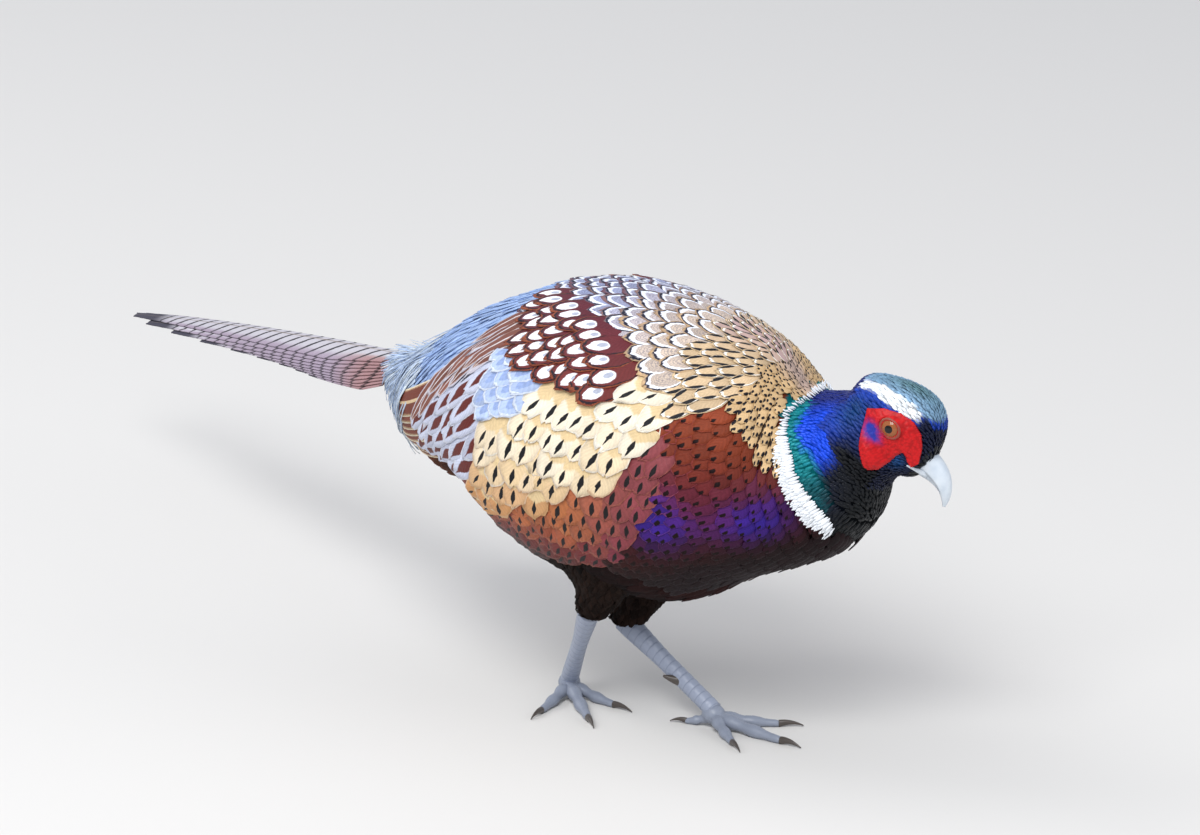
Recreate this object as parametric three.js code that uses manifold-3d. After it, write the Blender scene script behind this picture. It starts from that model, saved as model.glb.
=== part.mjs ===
// A cock ring-necked pheasant, life size, walking with its head low and its long tail trailing.
// Millimetres. +X is the way the body points, +Y is its left side, +Z is up. The feet stand on z = 0.

import * as THREE from "three";
import { mergeVertices } from "three/addons/utils/BufferGeometryUtils.js";
import Module from "manifold-3d";

const wasm = await Module();
wasm.setup();

// Driving dimensions

const GAP = 0.3; // between pieces that touch
const VANE_THICKNESS = 0.7; // of a flight or tail feather
const BODY_MIDDLE = 134; // height of the middle of the body over the ground
const TAIL_LENGTH = 348; // the longest tail feather, from its root
const TAIL_TURN = 17; // degrees that the tail swings to the bird's left
const TAIL_DROOP = 9; // degrees that the tail hangs below level
const HEAD_TURN = 20; // degrees that the head looks to the bird's left
const HEAD_DIP = 38; // degrees that the bill points below level
const HEAD_AT = new THREE.Vector3(171, 32, BODY_MIDDLE + 39); // the point between the eyes
const EYE_RADIUS = 6.2;
const EYE_AT = new THREE.Vector3(-1.2, 15, 1.8); // the left eyeball's middle, in the head's frame
const BILL_ROOT = 13; // from between the eyes forward to the feathers' edge on the bill
const BILL_LENGTH = 32;
const SIDES = { left: 1, right: -1 };
const degrees = THREE.MathUtils.degToRad;

// Trunk: stations from the tail's root to the neck's top, each a place on the spine and three radii

const station = (x, y, z, wide, up, down) => ({ at: [x, y, BODY_MIDDLE + z], size: [wide, up, down] });
const TRUNK = [
  station(-146, 9, 3, 16.5, 12, 17),
  station(-127, 4, 1.5, 24, 19, 27),
  station(-100, 1, 2.5, 40, 36.5, 42),
  station(-65, 0, 5.5, 54.5, 55, 43),
  station(-25, 0, 5.5, 71, 72.5, 66),
  station(18, 0, 5, 76, 79, 75),
  station(60, 1, 5, 72, 76, 73.5),
  station(94, 5, 6.5, 58, 69, 57),
  station(119, 13, 9, 43, 60, 48),
  station(137, 19, 15, 34, 45, 41),
  station(151, 24.5, 24.5, 29, 32, 26),
  station(163, 29, 32, 23, 25, 21),
];
const spine = new THREE.CatmullRomCurve3(
  TRUNK.map((s) => new THREE.Vector3(...s.at)), false, "catmullrom", 0.5);
const radii = new THREE.CatmullRomCurve3(
  TRUNK.map((s) => new THREE.Vector3(...s.size)), false, "catmullrom", 0.5);
const NECK_ROOT = 7.6 / (TRUNK.length - 1); // where the torso ends and the neck starts, along the trunk
const HEAD_ROOT = 9.9 / (TRUNK.length - 1); // where the neck ends and the head starts

// The point of the trunk's skin at t along it, at an angle from its top line towards the left, lifted off it
function onTrunk(t, angle, lift = 0, spread = 1) {
  const middle = spine.getPoint(t);
  const forward = spine.getTangent(t);
  const left = new THREE.Vector3(0, 0, 1).cross(forward).normalize();
  const up = forward.clone().cross(left);
  const r = radii.getPoint(t);
  const c = Math.cos(angle);
  const tall = (c > 0 ? r.y : r.z) + lift;
  return middle
    .addScaledVector(left, Math.sin(angle) * (r.x + lift) * spread)
    .addScaledVector(up, c * tall * spread);
}

// How far along the trunk its spine passes x
function trunkAt(x) {
  let [low, high] = [0, 1];
  for (let i = 0; i < 30; i++) {
    const mid = (low + high) / 2;
    if (spine.getPoint(mid).x < x) low = mid;
    else high = mid;
  }
  return low;
}

// Solids

// A closed geometry as a solid, turned the right way out
function solid(geometry) {
  const bare = new THREE.BufferGeometry();
  bare.setAttribute("position", geometry.getAttribute("position").clone());
  bare.setIndex(geometry.getIndex());
  const merged = mergeVertices(bare, 1e-3);
  const triangles = [];
  const index = merged.index.array;
  for (let i = 0; i < index.length; i += 3) {
    const [a, b, c] = index.slice(i, i + 3);
    if (a !== b && b !== c && c !== a) triangles.push([a, b, c]);
  }
  const build = (order) => new wasm.Manifold(new wasm.Mesh({
    numProp: 3,
    vertProperties: merged.attributes.position.array,
    triVerts: new Uint32Array(triangles.flatMap(order)),
  }));
  const made = build((t) => t);
  return made.volume() > 0 ? made : build(([a, b, c]) => [a, c, b]);
}

// The solid's largest closed surface as a geometry
function geometryOf(made) {
  const pieces = made.decompose().sort((a, b) => b.volume() - a.volume());
  const mesh = pieces[0].getMesh();
  const geometry = new THREE.BufferGeometry();
  geometry.setAttribute("position", new THREE.BufferAttribute(new Float32Array(mesh.vertProperties), 3));
  geometry.setIndex(new THREE.BufferAttribute(new Uint32Array(mesh.triVerts), 1));
  return geometry;
}

// A closed tube with flat ends: place(t, angle, spread) gives a point, with spread 0 on the tube's middle line
function tube(rings, sides, place) {
  const geometry = new THREE.CylinderGeometry(1, 1, 1, sides, rings);
  const p = geometry.getAttribute("position");
  for (let i = 0; i < p.count; i++) {
    const angle = Math.atan2(p.getX(i), p.getZ(i));
    const point = place(0.5 - p.getY(i), angle, Math.hypot(p.getX(i), p.getZ(i)));
    p.setXYZ(i, point.x, point.y, point.z);
  }
  return geometry;
}

// A closed sheet: place(u, v, face) gives a point, u from -1 to 1 across, v from 0 to 1 along,
// and face 1 on the outer side or -1 on the inner one. Both sides are split alike.
function sheet(across, along, place) {
  const grid = new THREE.PlaneGeometry(2, 1, across, along);
  const p = grid.getAttribute("position");
  const points = [];
  for (const face of [1, -1])
    for (let i = 0; i < p.count; i++) points.push(...place(p.getX(i), 0.5 - p.getY(i), face).toArray());
  const top = [...grid.getIndex().array];
  const index = [...top];
  for (let i = 0; i < top.length; i += 3)
    index.push(top[i] + p.count, top[i + 2] + p.count, top[i + 1] + p.count);
  const row = across + 1;
  const rim = [];
  for (let i = 0; i < across; i++) rim.push(i);
  for (let j = 0; j < along; j++) rim.push(j * row + across);
  for (let i = across; i > 0; i--) rim.push(along * row + i);
  for (let j = along; j > 0; j--) rim.push(j * row);
  rim.forEach((a, k) => {
    const b = rim[(k + 1) % rim.length];
    index.push(a, b, a + p.count, b, b + p.count, a + p.count);
  });
  const geometry = new THREE.BufferGeometry();
  geometry.setAttribute("position", new THREE.Float32BufferAttribute(points, 3));
  geometry.setIndex(index);
  return geometry;
}

const joined = (solids) => solids.reduce((a, b) => a.add(b));
const mix = THREE.MathUtils.lerp;
const ease = (t) => t * t * (3 - 2 * t);

// The trunk between two stations as a solid, grown outwards by lift
function trunkSolid(from, to, rings, sides, lift = 0) {
  return solid(tube(rings, sides, (t, angle, spread) =>
    onTrunk(mix(from, to, t), angle, lift, spread)));
}

// Torso and neck

const TORSO_RINGS = 20;
const TORSO_SIDES = 28;
const NECK_SIDES = 22;
const trunkPerMm = 1 / spine.getLength();
const torso = trunkSolid(0, NECK_ROOT, TORSO_RINGS, TORSO_SIDES);
const torsoGrown = trunkSolid(0, NECK_ROOT, TORSO_RINGS, TORSO_SIDES, GAP);
const neck = trunkSolid(NECK_ROOT + GAP * trunkPerMm, HEAD_ROOT - GAP * trunkPerMm, 6, NECK_SIDES);

// Head: its frame has x towards the bill, y to the left and z to the crown, from between the eyes

const HEAD = new THREE.Matrix4()
  .makeRotationFromEuler(new THREE.Euler(0, degrees(HEAD_DIP), degrees(HEAD_TURN), "ZYX"))
  .setPosition(HEAD_AT);
const skull = (x, z, wide, up, down) => ({ at: [x, 0, z], size: [wide, up, down] });
const SKULL = [
  skull(-30, 0, 2, 2.5, 3),
  skull(-28, 0, 9, 6.6, 16),
  skull(-22, 0, 15, 11.6, 26),
  skull(-12, 0, 18.5, 17, 30),
  skull(-2, 0, 18.2, 20.7, 28.5),
  skull(7.5, -0.7, 16.3, 21.5, 24.5),
  skull(16, -3.2, 13.4, 18, 18.5),
  skull(BILL_ROOT + 9, -7.5, 9, 9, 10),
];
const skullRadii = new THREE.CatmullRomCurve3(
  SKULL.map((s) => new THREE.Vector3(...s.size)), false, "catmullrom", 0.5);
const skullAxis = new THREE.CatmullRomCurve3(
  SKULL.map((s) => new THREE.Vector3(...s.at)), false, "catmullrom", 0.5);

function onSkull(t, angle, lift = 0, spread = 1) {
  const r = skullRadii.getPoint(t);
  const c = Math.cos(angle);
  const tall = (c > 0 ? r.y : r.z) + lift;
  return skullAxis.getPoint(t).add(
    new THREE.Vector3(0, Math.sin(angle) * (r.x + lift) * spread, c * tall * spread));
}
const skullSolid = (lift) => solid(tube(14, 20, (t, angle, spread) => onSkull(t, angle, lift, spread)));

// An eyeball grown by lift, in the head's frame
function eyeball(side, lift, across = 14, down = 9) {
  const ball = new THREE.SphereGeometry(EYE_RADIUS + lift, across, down);
  return solid(ball.translate(EYE_AT.x, side * EYE_AT.y, EYE_AT.z));
}

// The lids: a ring round the eye, thicker than the skin beside it
const LID_ACROSS = 1.1;
const EYE_OPENING = 5.2;
function lids(side) {
  const ring = new THREE.TorusGeometry(EYE_OPENING + 0.3, LID_ACROSS, 5, 14);
  ring.scale(1.12, 0.94, 1);
  ring.rotateX(degrees(90));
  return solid(ring.translate(EYE_AT.x, side * (EYE_AT.y + 3.4), EYE_AT.z));
}

// The bare red skin round the eye: its outline in the head's side view, with small wattled bumps on it
const FACE_THICKNESS = 1.3;
const FACE_OUTLINE = [
  [-14.5, 0.5], [-9.8, 6], [-2.3, 9.6], [5, 10.2], [11.8, 8], [16.2, 3.2], [19.5, -4], [18, -8],
  [14.5, -5.6], [10.4, -6.5], [7.6, -12.5], [2.5, -19.5], [-4, -21.5], [-9, -17], [-11.4, -8],
];
const BUMP_STEP = 6.2;
const BUMP_RADIUS = 1.9;
function faceSkin(side, skullGrown) {
  const outline = new THREE.Shape();
  outline.setFromPoints(
    new THREE.SplineCurve(FACE_OUTLINE.map((p) => new THREE.Vector2(...p))).getPoints(24));
  const reach = 40;
  const prism = new THREE.ExtrudeGeometry(outline, { depth: reach, bevelEnabled: false });
  prism.rotateX(degrees(90));
  prism.translate(0, side > 0 ? reach + 3 : -3, 0);
  const shell = skullSolid(FACE_THICKNESS + GAP).subtract(skullGrown);
  let made = shell.intersect(solid(prism));
  const inside = (x, z) => {
    let odd = false;
    FACE_OUTLINE.forEach(([ax, az], i) => {
      const [bx, bz] = FACE_OUTLINE[(i + 1) % FACE_OUTLINE.length];
      if (az > z !== bz > z && x < ((bx - ax) * (z - az)) / (bz - az) + ax) odd = !odd;
    });
    return odd;
  };
  for (let row = 0; row < 6; row++)
    for (let column = 0; column < 6; column++) {
      const x = -12 + BUMP_STEP * (column + (row % 2) / 2);
      const z = -18 + BUMP_STEP * row * 0.87;
      const clearOfEye = Math.hypot(x - EYE_AT.x, z - EYE_AT.z) > EYE_OPENING + 3;
      if (!clearOfEye || ![-1.5, 1.5].every((d) => inside(x + d, z) && inside(x, z + d))) continue;
      made = made.add(bump(x, z, side));
    }
  return made.subtract(skullGrown);
}

// A small round wattle standing on the face's skin
function bump(x, z, side) {
  let [low, high] = [0, 1];
  for (let i = 0; i < 24; i++) {
    const mid = (low + high) / 2;
    if (skullAxis.getPoint(mid).x < x) low = mid;
    else high = mid;
  }
  const r = skullRadii.getPoint(low);
  const up = z - skullAxis.getPoint(low).z;
  const tall = up > 0 ? r.y : r.z;
  const y = (r.x + FACE_THICKNESS) * Math.sqrt(Math.max(0.02, 1 - (up / tall) ** 2));
  return solid(new THREE.SphereGeometry(BUMP_RADIUS, 5, 3).translate(x, side * (y - 0.5), z));
}

// Bill: two horny halves that meet along the mouth, the upper one hooked over the lower

const billCurve = new THREE.QuadraticBezierCurve3(
  new THREE.Vector3(BILL_ROOT - 1, 0, -7),
  new THREE.Vector3(BILL_ROOT + 21, 0, -1.5),
  new THREE.Vector3(BILL_ROOT + BILL_LENGTH, 0, -17));
const BILL_WIDE = 8.2;
const BILL_UP = 8;
const BILL_DOWN = 6.3;
const MOUTH_DROP = 3; // how far the mouth line lies under the bill's middle line
const GAPE = new THREE.Vector3(BILL_ROOT + 3, 12.4, -9.8); // the mouth's corner on the left cheek

// A point of one half of the bill; part is 1 for the upper half and -1 for the lower
function onBill(t, angle, spread, part, reach, lift) {
  const at = billCurve.getPoint(t * reach);
  const along = billCurve.getTangent(t * reach);
  const up = new THREE.Vector3(-along.z, 0, along.x);
  const thin = Math.max(0.08, (1 - (t * reach) ** 1.5) ** 0.7) * (t > 0.94 ? 0.7 : 1);
  const c = Math.cos(angle);
  const mouth = -MOUTH_DROP * (1 - 0.7 * t) - part * lift;
  const tall = (part > 0 ? BILL_UP * thin : BILL_DOWN * thin * (1 - 0.2 * t)) + 2 * lift;
  const rise = part * Math.max(0, part * c) * tall;
  return at
    .addScaledVector(up, mouth + rise * spread)
    .add(new THREE.Vector3(0, Math.sin(angle) * (BILL_WIDE * thin * (part > 0 ? 1 : 0.86) + lift) * spread, 0));
}
const NOSTRIL = new THREE.Vector3(BILL_ROOT + 12.5, 5.4, -2.6);
const billHalf = (part, lift = 0) => solid(tube(10, 16, (t, angle, spread) =>
  onBill(t, angle, spread, part, part > 0 ? 1 : 0.84, lift)));

// The horny corner of the mouth, from the lower half back along the cheek
function gape(side) {
  const root = new THREE.Vector3(BILL_ROOT + 13, 4.4, -9.8);
  return solid(tube(4, 8, (t, angle, spread) => {
    const at = root.clone().lerp(GAPE, t);
    const thick = mix(2.2, 0.5, t) * spread;
    return new THREE.Vector3(at.x, side * (at.y + Math.sin(angle) * thick), at.z + Math.cos(angle) * thick * 0.8);
  }));
}
function bill(part, skullGrown) {
  let made = billHalf(part);
  if (part < 0) made = joined([made, gape(1), gape(-1)]).subtract(billHalf(1, GAP));
  made = made.subtract(skullGrown);
  if (part > 0)
    for (const side of Object.values(SIDES)) {
      const pit = new THREE.SphereGeometry(1.4, 8, 6).scale(2, 0.9, 0.7);
      made = made.subtract(solid(pit.translate(NOSTRIL.x, side * (NOSTRIL.y + 0.9), NOSTRIL.z)));
    }
  return made;
}

// Wings: folded against the torso, a plump arm with tiers of feathers rooted in it, tips to the rear

const WING_FRONT = trunkAt(72);
const WING_REAR = trunkAt(-72);
const WING_TOP = 40; // degrees from the back's middle line
const WING_LOW = 108;
const WING_PLUMP = 6;
const VANE_TILT = 1.1; // each feather's lower edge lies over the next one's upper edge

// The arm: a bulge on the torso's side that thins towards its edges
function wingArm(side) {
  return solid(sheet(6, 8, (u, v, face) => {
    const bulge = (1 - u ** 4) * (1 - (2 * v - 1) ** 4);
    const middle = (WING_TOP + WING_LOW) / 2;
    const half = ((WING_LOW - WING_TOP) / 2) * (1 - 0.25 * Math.abs(2 * v - 1) ** 3);
    const angle = degrees(middle + half * u + 8 * v);
    return onTrunk(mix(WING_FRONT, WING_REAR, v), side * angle, face > 0 ? 1.7 + WING_PLUMP * bulge : -3);
  }));
}

// One feather laid over the trunk from a root to a tip, both as [x, degrees, lift]
function wingFeather(side, root, tip, half, along = 4) {
  const [from, to] = [trunkAt(root[0]), trunkAt(tip[0])];
  return solid(sheet(2, along, (u, v, face) => {
    const t = mix(from, to, v);
    const angle = degrees(mix(root[1], tip[1], v));
    const lift = mix(root[2], tip[2], v ** 0.8) + VANE_TILT * u;
    const wide = half * featherWidth(v);
    const r = radii.getPoint(t);
    const turn = (u * wide) / ((r.x + r.y) / 2 + lift);
    return onTrunk(t, side * (angle + turn), lift + (face * VANE_THICKNESS) / 2);
  }));
}

// A feather's width along it, as a share of its widest: narrow at the root, round at the tip
const featherWidth = (v) => (0.45 + 0.55 * ease(Math.min(1, v / 0.35))) * Math.sqrt(Math.max(0.02, 1 - v ** 5));

// Tiers of the wing: how many feathers, the first and last root and tip, and half a feather's width
const WING_TIERS = [
  { count: 3, roots: [[-28, 94, 1.6], [-10, 108, 1.2]], tips: [[-124, 100, 4], [-100, 118, 2.5]], half: 9 },
  { count: 6, roots: [[-8, 50, 4], [-8, 98, 2.6]], tips: [[-108, 62, 6], [-98, 112, 4]], half: 11 },
  { count: 6, roots: [[20, 50, 4.6], [16, 98, 3.6]], tips: [[-48, 56, 8], [-52, 106, 6]], half: 10.5 },
  { count: 6, roots: [[46, 50, 4.6], [46, 96, 3.6]], tips: [[0, 52, 9], [-6, 100, 7]], half: 10.5 },
];

function wing(side) {
  const parts = [wingArm(side)];
  for (const tier of WING_TIERS)
    for (let i = 0; i < tier.count; i++) {
      const share = i / (tier.count - 1);
      const between = ([a, b]) => a.map((value, k) => mix(value, b[k], share));
      const root = between(tier.roots);
      const tip = between(tier.tips);
      parts.push(wingFeather(side, root, tip, tier.half));
    }
  return joined(parts).subtract(torsoGrown);
}

// Tail: nine pairs of barred feathers under one another like a roof, rooted in a short stump

const TAIL_RISE = 3; // of the feathers' roots over the trunk's middle line
const TAIL_SAG = 9; // how far the longest feathers' tips sink below their roots' line
const TAIL_AT = spine.getPoint(0).add(new THREE.Vector3(0, 0, TAIL_RISE));
const TAIL = new THREE.Matrix4()
  .makeRotationFromEuler(new THREE.Euler(0, degrees(TAIL_DROOP), degrees(180 - TAIL_TURN), "ZYX"))
  .setPosition(TAIL_AT);
const TAIL_PAIRS = 9;
const TAIL_STEP = 1.6; // from one pair down to the next
const TAIL_VANE = 0.5;
const TAIL_ROOF = degrees(34); // how steeply the feathers' outer edges slope down
const RIDGE_ROUNDING = 5;
const STUMP_LENGTH = 78;

// The stump carries on the torso's own end section and narrows to the tail feathers' thickness
function tailStump() {
  const backward = new THREE.Vector3().setFromMatrixColumn(TAIL, 0);
  const start = spine.getTangent(0).multiplyScalar(-GAP);
  return solid(tube(5, 16, (t, angle, spread) => {
    const ring = onTrunk(0, angle, 0, spread * (1 - 0.72 * ease(t))).add(start);
    return ring.addScaledVector(backward, STUMP_LENGTH * t);
  }));
}

// One tail feather in the tail's frame: x to the tip, z up, side 1 or -1 for the pair's two feathers
function tailFeather(pair, side) {
  const length = TAIL_LENGTH * [1, 0.93, 0.82, 0.7, 0.58, 0.48, 0.4, 0.34, 0.29][pair];
  const half = 12.5 - 0.5 * pair;
  const fan = degrees(side * (0.3 + 0.5 * pair));
  const start = new THREE.Vector3(18, side * (2 + 0.7 * pair), 0);
  const layer = 5 - TAIL_STEP * (pair + (side > 0 ? 0 : 0.5));
  return solid(sheet(2, 4, (u, v, face) => {
    const taper = (0.5 + 0.5 * ease(Math.min(1, v / 0.2))) * (1 - 0.9 * v ** 1.5) + 0.03;
    const local = new THREE.Vector3((length - 18) * v, u * side * half * taper, 0)
      .applyAxisAngle(new THREE.Vector3(0, 0, 1), fan).add(start);
    const roof = Math.tan(TAIL_ROOF) * (Math.hypot(local.y, RIDGE_ROUNDING) - RIDGE_ROUNDING);
    const sag = TAIL_SAG * (local.x / TAIL_LENGTH) ** 2;
    local.z = layer - roof - sag + (face * TAIL_VANE) / 2;
    return local.applyMatrix4(TAIL);
  }));
}

function tail() {
  const parts = [tailStump()];
  for (let pair = 0; pair < TAIL_PAIRS; pair++)
    for (const side of Object.values(SIDES)) parts.push(tailFeather(pair, side));
  return joined(parts).subtract(torsoGrown);
}

// Legs: each has a hip inside the torso's underside, a heel joint, and a foot on the ground

const TOE_JOINT = 8.5; // height of the toes' common joint
const LEGS = {
  left: {
    hip: [8, 24, 97], heel: [13, -3, 43], foot: [72, 1, TOE_JOINT], heading: 6,
  },
  right: {
    hip: [14, -31, 97], heel: [23, -38, 58], foot: [-14, -15, TOE_JOINT], heading: -32,
  },
};
const SHANK = { top: [5.6, 6.4], middle: [4.1, 4.9], end: [4.8, 4.6] }; // half across, half front to back
const SCUTES = 12;

// Half sizes across and front to back of a shank at t from the heel to the toes
function shankSize(t) {
  const [a, b, share] = t < 0.5 ? [SHANK.top, SHANK.middle, t * 2] : [SHANK.middle, SHANK.end, t * 2 - 1];
  return a.map((value, k) => mix(value, b[k], ease(share)));
}

// The scaled shank: overlapping scutes down its front, each a ring that stands off the next
function shank(leg, lift = 0, overrun = 0) {
  const heel = new THREE.Vector3(...leg.heel);
  const foot = new THREE.Vector3(...leg.foot);
  const down = foot.clone().sub(heel).normalize();
  const front = new THREE.Vector3(Math.cos(degrees(leg.heading)), Math.sin(degrees(leg.heading)), 0);
  const across = down.clone().cross(front).normalize();
  front.crossVectors(across, down);
  const steps = SCUTES * 2;
  return solid(tube(steps, 10, (t, angle, spread) => {
    const [wide, deep] = shankSize(t);
    const ridge = Math.round(t * steps) % 2 ? 0.45 : 0;
    const facing = Math.max(0, Math.cos(angle));
    const grow = lift + ridge * facing;
    return heel.clone()
      .lerp(foot.clone().addScaledVector(down, overrun), t)
      .addScaledVector(across, Math.sin(angle) * (wide + grow) * spread)
      .addScaledVector(front, Math.cos(angle) * (deep + grow) * spread);
  }));
}

// The feathered thigh and leg, like short trousers from the belly down over the heel
function thigh(leg) {
  const hip = new THREE.Vector3(...leg.hip);
  const heel = new THREE.Vector3(...leg.heel);
  const ahead = hip.clone().lerp(heel, 0.45).add(new THREE.Vector3(22, 0, 0));
  const path = new THREE.QuadraticBezierCurve3(hip, ahead, heel);
  const grownShank = shank(leg, GAP);
  const made = solid(tube(8, 16, (t, angle, spread) => {
    const thick = mix(30, 9.5, ease(Math.min(1, t * 1.05)));
    const at = path.getPoint(t);
    return at.add(new THREE.Vector3(
      Math.cos(angle) * thick * 1.15 * spread,
      Math.sin(angle) * thick * 0.85 * spread,
      -2 * t * Math.cos(angle) * spread));
  }));
  return made.subtract(torsoGrown).subtract(grownShank);
}

// Toes: heading from the foot's own, length without the claw, half thickness, and height of the tip
const TOES = {
  middle: { turn: 0, length: 44, thick: 3.9 },
  inner: { turn: -34, length: 32, thick: 3.5 },
  outer: { turn: 38, length: 34, thick: 3.5 },
  back: { turn: -158, length: 15, thick: 2.9 },
};
const CLAW_LENGTH = 11;

// A toe's middle line in the foot's frame, x the foot's heading, from the joint to where the claw starts
function toeLine(toe, side) {
  const turn = degrees(toe.turn * side);
  const out = new THREE.Vector3(Math.cos(turn), Math.sin(turn), 0);
  const near = out.clone().multiplyScalar(toe.length * 0.35).setZ(toe.thick * 0.78);
  const end = out.clone().multiplyScalar(toe.length).setZ(toe.thick * 0.45);
  return new THREE.QuadraticBezierCurve3(new THREE.Vector3(0, 0, TOE_JOINT - 2), near, end);
}

// A jointed toe with flat pads: the underside is cut level with the ground
function toeSolid(toe, side) {
  const line = toeLine(toe, side);
  const joints = 3;
  return solid(tube(6, 8, (t, angle, spread) => {
    const at = line.getPoint(t);
    const along = line.getTangent(t);
    const across = new THREE.Vector3(-along.y, along.x, 0).normalize();
    const up = along.clone().cross(across);
    const knuckle = 1 + 0.12 * Math.cos(t * joints * Math.PI * 2);
    const thick = mix(toe.thick, toe.thick * 0.66, t) * knuckle;
    at.addScaledVector(across, Math.sin(angle) * thick * spread);
    at.addScaledVector(up, Math.cos(angle) * thick * 0.92 * spread);
    return at.setZ(Math.max(0, at.z));
  }));
}

function foot(leg, side) {
  const parts = Object.values(TOES).map((toe) => toeSolid(toe, side));
  parts.push(solid(new THREE.SphereGeometry(5.6, 10, 6).scale(1.1, 1, 0.9).translate(0, 0, TOE_JOINT - 2)));
  const place = new THREE.Matrix4()
    .makeRotationZ(degrees(leg.heading))
    .setPosition(leg.foot[0], leg.foot[1], 0);
  return joined(parts).transform(place.elements).subtract(shank(leg, GAP, 0.3));
}

// A horny claw from the end of a toe, curved down to the ground
function claw(leg, toe, side) {
  const line = toeLine(toe, side);
  const end = line.getPoint(1);
  const along = line.getTangent(1);
  const root = end.clone().addScaledVector(along, GAP);
  const tip = end.clone().addScaledVector(along, CLAW_LENGTH * (toe.length > 20 ? 1 : 0.7)).setZ(0.7);
  const over = root.clone().lerp(tip, 0.5).setZ(root.z + 1.4);
  const path = new THREE.QuadraticBezierCurve3(root, over, tip);
  const geometry = tube(4, 6, (t, angle, spread) => {
    const thick = toe.thick * 0.56 * (1 - t * 0.82);
    const flat = new THREE.Vector3(-along.y, along.x, 0).normalize();
    const point = path.getPoint(t);
    point.addScaledVector(flat, Math.sin(angle) * thick * 0.8 * spread);
    point.z += Math.cos(angle) * thick * spread;
    return point.setZ(Math.max(0, point.z));
  });
  geometry.rotateZ(degrees(leg.heading)).translate(leg.foot[0], leg.foot[1], 0);
  return solid(geometry);
}

// The spur: a blunt cone on the shank's inner rear side
const SPUR_LENGTH = 9;
function spur(leg, side) {
  const heel = new THREE.Vector3(...leg.heel);
  const foot = new THREE.Vector3(...leg.foot);
  const base = heel.lerp(foot, 0.68);
  const heading = degrees(leg.heading);
  const out = new THREE.Vector3(-Math.cos(heading), -Math.sin(heading), 0.15);
  out.add(new THREE.Vector3(Math.sin(heading), -Math.cos(heading), 0).multiplyScalar(side * 0.7)).normalize();
  const cone = new THREE.CylinderGeometry(0.5, 3, SPUR_LENGTH, 10, 1);
  cone.translate(0, SPUR_LENGTH / 2 + 2, 0);
  cone.applyQuaternion(new THREE.Quaternion().setFromUnitVectors(new THREE.Vector3(0, 1, 0), out));
  return solid(cone.translate(base.x, base.y, base.z)).subtract(shank(leg, GAP));
}

// Materials: the colour a piece shows from a step away

const finish = (color, roughness, metalness = 0) => new THREE.MeshStandardMaterial({ color, roughness, metalness });
const FINISH = {
  copper: finish(0x7a3a22, 0.6, 0.1),
  teal: finish(0x12406a, 0.4, 0.3),
  red: finish(0xc21414, 0.55),
  horn: finish(0xd9dfe2, 0.45),
  grey: finish(0x98a3b4, 0.55),
  slate: finish(0xa9b4c6, 0.65),
  barred: finish(0xb9a68f, 0.65),
  black: finish(0x1c1517, 0.8),
  amber: finish(0xc98a3c, 0.15),
  claw: finish(0x4a4442, 0.5),
};

// Assembly

const bird = new THREE.Group();
function add(name, made, material) {
  const mesh = new THREE.Mesh(geometryOf(made), material);
  mesh.name = name;
  bird.add(mesh);
}

const skullGrown = skullSolid(GAP);
const neckTop = trunkSolid(HEAD_ROOT, 1, 4, NECK_SIDES);
const eyes = Object.values(SIDES).map((side) => eyeball(side, GAP));
let head = skullSolid(0).transform(HEAD.elements).add(neckTop);
const neckBelow = trunkSolid(NECK_ROOT, HEAD_ROOT - GAP * trunkPerMm, 6, NECK_SIDES, GAP);
head = head.subtract(neckBelow);
for (const side of Object.values(SIDES)) {
  head = head.add(lids(side).transform(HEAD.elements));
}
for (const eye of eyes) head = head.subtract(eye.transform(HEAD.elements));
const headParts = (made) => made.transform(HEAD.elements);
const trunkTopGrown = trunkSolid(HEAD_ROOT, 1, 4, NECK_SIDES, GAP);

add("torso", torso, FINISH.copper);
add("neck", neck, FINISH.teal);
add("head", head, FINISH.teal);
add("bill_upper", headParts(bill(1, skullGrown)), FINISH.horn);
add("bill_lower", headParts(bill(-1, skullGrown)), FINISH.horn);
add("tail", tail(), FINISH.barred);
for (const [name, side] of Object.entries(SIDES)) {
  const leg = LEGS[name];
  const lidGrown = joined([lids(side), eyeball(side, GAP)]);
  add("eye_" + name, headParts(eyeball(side, 0)), FINISH.amber);
  const face = headParts(faceSkin(side, skullGrown).subtract(lidGrown)).subtract(trunkTopGrown);
  add("face_" + name, face, FINISH.red);
  add("wing_" + name, wing(side), FINISH.slate);
  add("thigh_" + name, thigh(leg), FINISH.black);
  add("shank_" + name, shank(leg).subtract(torsoGrown), FINISH.grey);
  add("foot_" + name, foot(leg, side), FINISH.grey);
  add("spur_" + name, spur(leg, side), FINISH.claw);
  for (const [which, toe] of Object.entries(TOES))
    add("claw_" + name + "_" + which, claw(leg, toe, side), FINISH.claw);
}

// The part's origin is on the ground under the middle of its box
const part = new THREE.Group();
const box = new THREE.Box3().setFromObject(bird);
bird.position.set(-(box.min.x + box.max.x) / 2, -(box.min.y + box.max.y) / 2, -box.min.z);
part.add(bird);

export default part;
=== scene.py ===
"""A cock ring-necked pheasant, life size, walking with its head low and its long tail trailing.

Lengths in the tables are millimetres in the bird's own frame: x the way the body points, y to its left,
z up from the ground. Each piece is put into the model's frame, in metres, when its mesh is made.
"""

import math

import bpy
import numpy as np
from mathutils import Matrix, Vector
from mathutils.bvhtree import BVHTree


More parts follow.
